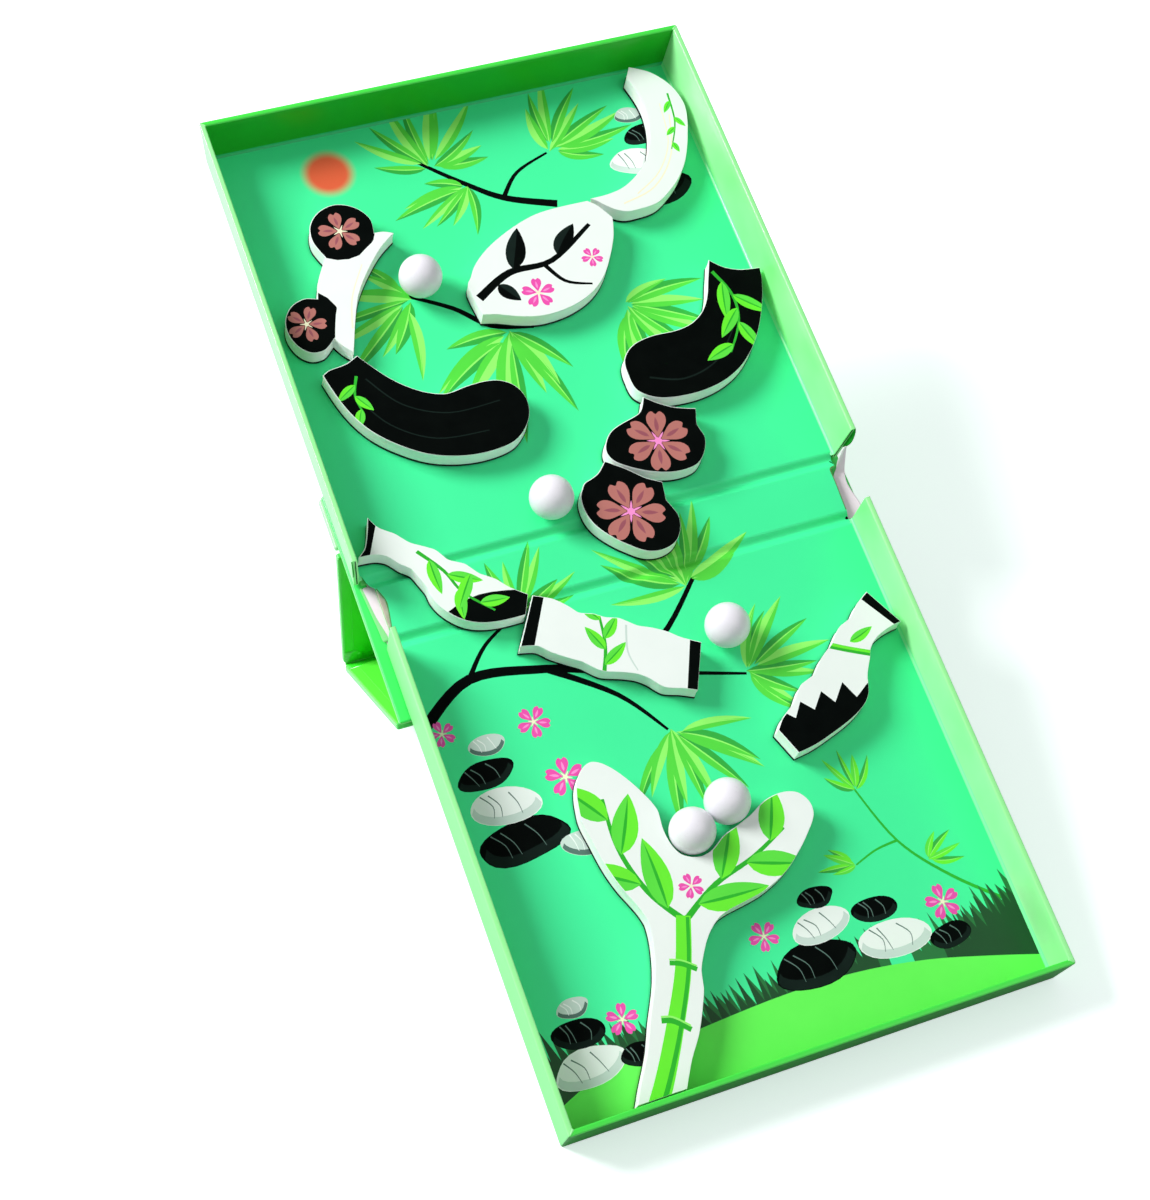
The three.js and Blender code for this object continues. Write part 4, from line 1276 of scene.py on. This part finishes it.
# %% What is printed on each piece
ROSE_CREAM = ("rose", "rose_dark", "cream")
ROSE_PINK = ("rose", "rose_dark", "pink_pale")
INKED = ("black", "charcoal")
JAG = [(126, 116), (134, 119), (137, 116), (141, 121.5), (145, 117), (150, 123), (153.5, 117.5), (159, 124),
       (162, 117), (168, 121), (171, 116), (170, 100), (126, 98)]
PIECE_PICTURES = {
    "lobed_arc": ("white", [
        ("black", disc((40, 356), 14.5)), ("black", disc((15.5, 318.2), 14.0, 1.1)),
        *blossom((40.4, 354.4), 8.4, 5, 20, ROSE_CREAM), *blossom((15.8, 318.2), 7.6, 5, 60, ROSE_CREAM),
        ("white", stroke([(30, 303), (35, 320), (45, 336), (60, 347)], 15, 8)),
        ("cream", stroke([(32, 312), (36, 325), (44, 338)], 0.7, 0.4))]),
    "bean": ("black", [
        ("charcoal", stroke([(30, 290), (40, 276), (56, 268), (76, 268)], 0.6, 0.4)),
        ("charcoal", stroke([(24, 284), (33, 269), (48, 259), (68, 257)], 0.6, 0.4)),
        *sprig([(27, 292), (24, 284), (25, 276)], 1.2, 3, 10, 3.8)]),
    "cut_oval": ("white", [
        ("black", stroke([(83, 312), (98, 320), (116, 321), (136, 333)], 3.6, 1.6)),
        ("black", stroke([(112, 321), (118, 311), (128, 307)], 2.0, 0.8)),
        *leaf((100, 321), 62, 19, 8, 0.08, INKED), *leaf((119, 323), 52, 16, 7, -0.08, INKED),
        *leaf((92, 316), 300, 11, 6, 0.1, INKED),
        *blossom((106, 308.5), 6.6, 5, 10), *blossom((132, 318.5), 4.4, 5, 40)]),
    "crescent": ("white", [
        ("cream", stroke([(153, 338.5), (168, 343), (180, 356), (186, 374)], 0.7, 0.5)),
        ("cream", stroke([(160, 341.5), (172, 349), (181, 362), (184, 380)], 0.6, 0.4)),
        *sprig([(189, 384), (187, 370), (181, 358)], 0.9, 4, 6.5, 2.4)]),
    "bent_arm": ("black", [
        ("charcoal", stroke([(135, 262), (148, 258), (163, 262), (175, 274)], 0.8, 0.5)),
        *sprig([(176, 300), (180, 288), (178, 276), (170, 264)], 1.5, 5, 17, 5.2)]),
    "upper_pebble": ("black", blossom((128.5, 235.5), 12.6, 6, 15, ROSE_PINK)),
    "lower_pebble": ("black", blossom((108, 210.5), 13.0, 6, 40, ROSE_PINK)),
    "s_band": ("white", [
        ("black", stroke([(3.4, 215), (14.6, 236.6)], 5.6)),
        ("black", stroke([(26, 182), (42, 186), (64, 180)], 13, 21)),
        *sprig([(26, 217), (33, 207), (37, 197), (46, 187)], 1.5, 4, 14, 4.6),
        *leaf((42, 203), 232, 15, 5.0, 0.05, FRESH, "leaf_dark")]),
    "wavy_band": ("white", [
        ("black", stroke([(48, 166), (61.5, 190)], 8.6)), ("black", stroke([(102.6, 132), (113.6, 157)], 4.4)),
        *sprig([(76, 153), (80, 163), (82, 176)], 1.6, 4, 12, 4.4),
        ("stone", stroke([(90, 168), (87, 158), (88, 150)], 0.8, 0.5))]),
    "curved_band": ("white", [
        ("black", JAG), ("black", stroke([(178, 158.5), (191.6, 137)], 4.8)),
        ("white", stroke([(126.5, 113), (132, 101)], 3.2)),
        ("leaf_dark", stroke([(158, 140), (166, 135.5), (175, 131)], 2.4)),
        ("leaf_vivid", stroke([(158, 140.6), (166, 136.1), (175, 131.6)], 1.2)),
        *leaf((168, 138), 12, 11, 4, 0.1, FRESH, "leaf_dark")]),
    "fork_catcher": ("white", [
        *sprig([(71, 58), (62, 72), (57.5, 90), (58.5, 108)], 2.4, 4, 26, 9.6),
        *sprig([(71, 58), (86, 67), (102, 72), (117, 79)], 2.4, 4, 26, 9.6),
        ("leaf_vivid", stroke([(35, -4), (44, 8), (54, 24), (64, 42), (71, 60)], 7.2, 5.2)),
        ("leaf_dark", stroke([(37, -4), (46, 8), (55.9, 23.3), (65.7, 41.3), (72.2, 59)], 1.8, 1.2)),
        ("leaf_dark", stroke([(50.6, 28.0), (54.6, 26.6), (59.4, 22.0)], 1.9)),
        ("leaf_pale", stroke([(50.9, 29.3), (54.9, 27.9), (59.7, 23.3)], 0.7)),
        ("leaf_dark", stroke([(60.4, 45.8), (64.4, 44.2), (68.8, 40.8)], 1.7)),
        ("leaf_pale", stroke([(60.7, 47.0), (64.7, 45.4), (69.1, 42.0)], 0.6)),
        *blossom((77.5, 69), 4.6, 5, 25)]),
}
print("pictures:", ", ".join(f"{name} {len(motifs)}" for name, (_, motifs) in PIECE_PICTURES.items()), "motifs")

# %% [markdown]
# ### Stacking a piece
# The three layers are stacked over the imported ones. The die never meets the print quite
# squarely, so the picture sits a tenth of a millimetre off and leaves a bare white line
# along one side of the card.

# %% Dress every piece
# Heights and insets of the rings, in mm.
MAGNET_RINGS = [(PIECE_LOW - 0.1, -0.05), (PIECE_LOW, -0.18), (4.1, -0.18), (4.2, 0.0)]
FOAM_RINGS = [(4.15, 0.05), (5.0, 0.0), (6.5, 0.1), (8.2, 0.14), (9.8, 0.08), (10.7, 0.0), (10.95, 0.0)]
CARD_RINGS = [(10.95, 0.0), (11.1, 0.0), (11.24, 0.04), (11.29, 0.12)]
MISPRINT = Vector((0.08, -0.1))


def clipped_card(name, rim, inner, motifs, ground):
    """The card's top: bare white outside the inner outline, the picture within it."""
    found, kept, ink_of = inlay(rim, motifs, ground, inner)
    solid = [(x, y, PIECE_HIGH) for x, y in found]
    return mesh_object(f"{name}_printed_card", solid, kept, name, INK_MATERIALS,
                       face_materials=ink_of)


def dress_piece(name):
    """Magnet, foam and card of one piece, and the card's picture within its bare margin."""
    outline = smooth_outline(cad_outline(f"{name}_foam"), 3)
    print(f"{name}: an outline of {len(outline)} points")
    black = band(f"{name}_magnet_layer", outline, MAGNET_RINGS, name, magnet)
    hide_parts(f"{name}_magnet")
    body = band(f"{name}_foam_body", outline, FOAM_RINGS, name, foam)
    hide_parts(f"{name}_foam")
    ground, motifs = PIECE_PICTURES[name]
    margin = [p + MISPRINT for p in inset(outline, 0.2)]
    card = clipped_card(name, inset(outline, 0.12), margin, motifs, ground)
    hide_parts(f"{name}_print")
    band(f"{name}_card_edge", outline, CARD_RINGS, name, INKS["white"])


for piece in PIECE_PICTURES:
    dress_piece(piece)


# %% [markdown]
# ## Balls
# A moulded ball has a faint parting line where the halves of its mould met. Noise could
# never draw one true circle, so the line is in the mesh: the points near each sphere's
# equator are drawn in by a quarter of a percent, and each ball is turned its own way.

# %% The balls
SEAM_DEPTH = 0.0025  # as a share of the radius
SEAM_WIDTH = 0.02


def dress_ball(number):
    """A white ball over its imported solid, with its own turn."""
    node = f"ball_{number}"
    low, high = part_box(node)
    centre = (low + high) / 2
    radius = (high.z - low.z) / 2
    bpy.ops.mesh.primitive_uv_sphere_add(segments=64, ring_count=48, radius=radius)
    ball = bpy.context.active_object
    ball.name = f"white_ball_{number}"
    turn = Matrix.Rotation(0.6 * number, 3, "X") @ Matrix.Rotation(0.9 * number, 3, "Y")
    for vertex in ball.data.vertices:
        height = vertex.co.z / radius
        seam = math.exp(-((height / SEAM_WIDTH) ** 2))
        vertex.co = turn @ (vertex.co * (1 - SEAM_DEPTH * seam)) + centre
    ball.data.materials.append(ball_white)
    ball.data.shade_smooth()
    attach(ball, node)
    tell(ball)
    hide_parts(node)


for number in range(1, 6):
    dress_ball(number)


# %% [markdown]
# ## The floor
# The box stands on a white sweep that melts into the background and keeps only a soft
# shadow with a faint cool tint. More light would whiten the floor but bleach the box.
# Instead Is Camera Ray tells who looks: the camera sees a paler floor that glows a
# little, and the box is lit by the bounce of a plain light grey one.

# %% The floor
FLOOR_GLOW = 0.52
GLOW_COLOUR = (0.88, 1, 0.97, 1)
SEEN_COLOUR = (0.9, 0.94, 0.94, 1)

stage_white = finish_material("stage_white", "#ccd6da", "#c8d2d6", rough=0.9, blotch=400.0, grain=0.0,
                              relief=0.001)
bpy.ops.mesh.primitive_plane_add(size=8.0, location=(0, 0, -0.0002))
floor = bpy.context.active_object
floor.name = "stage_floor"
tree = stage_white.node_tree
shader = tree.nodes["Principled BSDF"]
shader.inputs["Emission Color"].default_value = GLOW_COLOUR
seen = add(tree, "ShaderNodeLightPath").outputs["Is Camera Ray"]
glow = add(tree, "ShaderNodeMath", {0: seen, 1: FLOOR_GLOW}, operation="MULTIPLY")
tree.links.new(glow.outputs["Value"], shader.inputs["Emission Strength"])
pale = add(tree, "ShaderNodeMix", {"Factor": seen}, data_type="RGBA")
tree.links.new(shader.inputs["Base Color"].links[0].from_socket, pale.inputs["A"])
pale.inputs["B"].default_value = SEEN_COLOUR
tree.links.new(pale.outputs["Result"], shader.inputs["Base Color"])
floor.data.materials.append(stage_white)
print("floor:", floor.name, "seen at", FLOOR_GLOW, "glow")

# %% [markdown]
# ## Light
# One small lamp would draw hard, dark shadows. A broad key light from the upper left
# gives them soft edges, and a weak fill opens them from the other side. The world
# lights everything evenly, at a lower level than the white that the camera sees.

# %% Lights and world
AIM = (0, 0, 0.05)
WORLD_LIGHT = 0.36
WORLD_SEEN = 1.0


def soft_light(name, place, size, power):
    """A square area light that looks at the board: place and size in metres, power in watts."""
    data = bpy.data.lights.new(name, "AREA")
    data.size = size
    data.energy = power
    made = bpy.data.objects.new(name, data)
    made.location = place
    made.rotation_euler = (Vector(AIM) - Vector(place)).to_track_quat("-Z", "Y").to_euler()
    bpy.context.scene.collection.objects.link(made)
    print(f"{name}: {power} W over {size} m")


soft_light("key_light", (-1.25, 0.75, 1.35), 0.75, 48)
soft_light("fill_light", (0.9, -1.2, 1.5), 1.6, 6)

world = bpy.data.worlds.new("studio")
bpy.context.scene.world = world
world.use_nodes = True
background = world.node_tree.nodes["Background"]
background.inputs["Color"].default_value = (1, 1, 1, 1)
seen = add(world.node_tree, "ShaderNodeLightPath").outputs["Is Camera Ray"]
level = add(world.node_tree, "ShaderNodeMapRange", {"Value": seen, "To Min": WORLD_LIGHT, "To Max": WORLD_SEEN})
world.node_tree.links.new(level.outputs["Result"], background.inputs["Strength"])
bpy.context.scene.view_settings.view_transform = "Standard"
bpy.context.scene.view_settings.look = "None"

# %% [markdown]
# ## Camera
# A camera can be set by eye, but this one was fitted to the corners of the two trays, so
# that the board can be compared with its picture edge for edge. Its place and its three
# axes are written in board millimetres, and the board's own matrix carries them to the
# scene. The sensor spans the picture's longer side, its height, so the fitted focal
# length in pixels gives the lens.

# %% The fitted camera
CAMERA_PLACE = (-140.53, -91.75, 752.48)
CAMERA_RIGHT = Vector((0.9298, -0.3381, 0.1457))
CAMERA_UP = Vector((0.2571, 0.8796, 0.4004))
CAMERA_BACK = Vector((-0.2635, -0.3348, 0.9047))
FOCAL_PIXELS = 2250.8
IMAGE_HEIGHT = 1200
SENSOR = 36.0

camera_data = bpy.data.cameras.new("camera")
camera_data.sensor_fit = "AUTO"
camera_data.sensor_width = SENSOR
camera_data.lens = SENSOR * FOCAL_PIXELS / IMAGE_HEIGHT
camera_data.clip_start = 0.01
camera = bpy.data.objects.new("camera", camera_data)
turn = TO_ROW.to_3x3().normalized()
axes = [(turn @ axis).normalized() for axis in (CAMERA_RIGHT, CAMERA_UP, CAMERA_BACK)]
camera.matrix_world = Matrix.Translation(TO_ROW @ Vector(CAMERA_PLACE)) @ Matrix(axes).transposed().to_4x4()
bpy.context.scene.collection.objects.link(camera)
bpy.context.scene.camera = camera
print("camera lens:", round(camera_data.lens, 2), "mm")
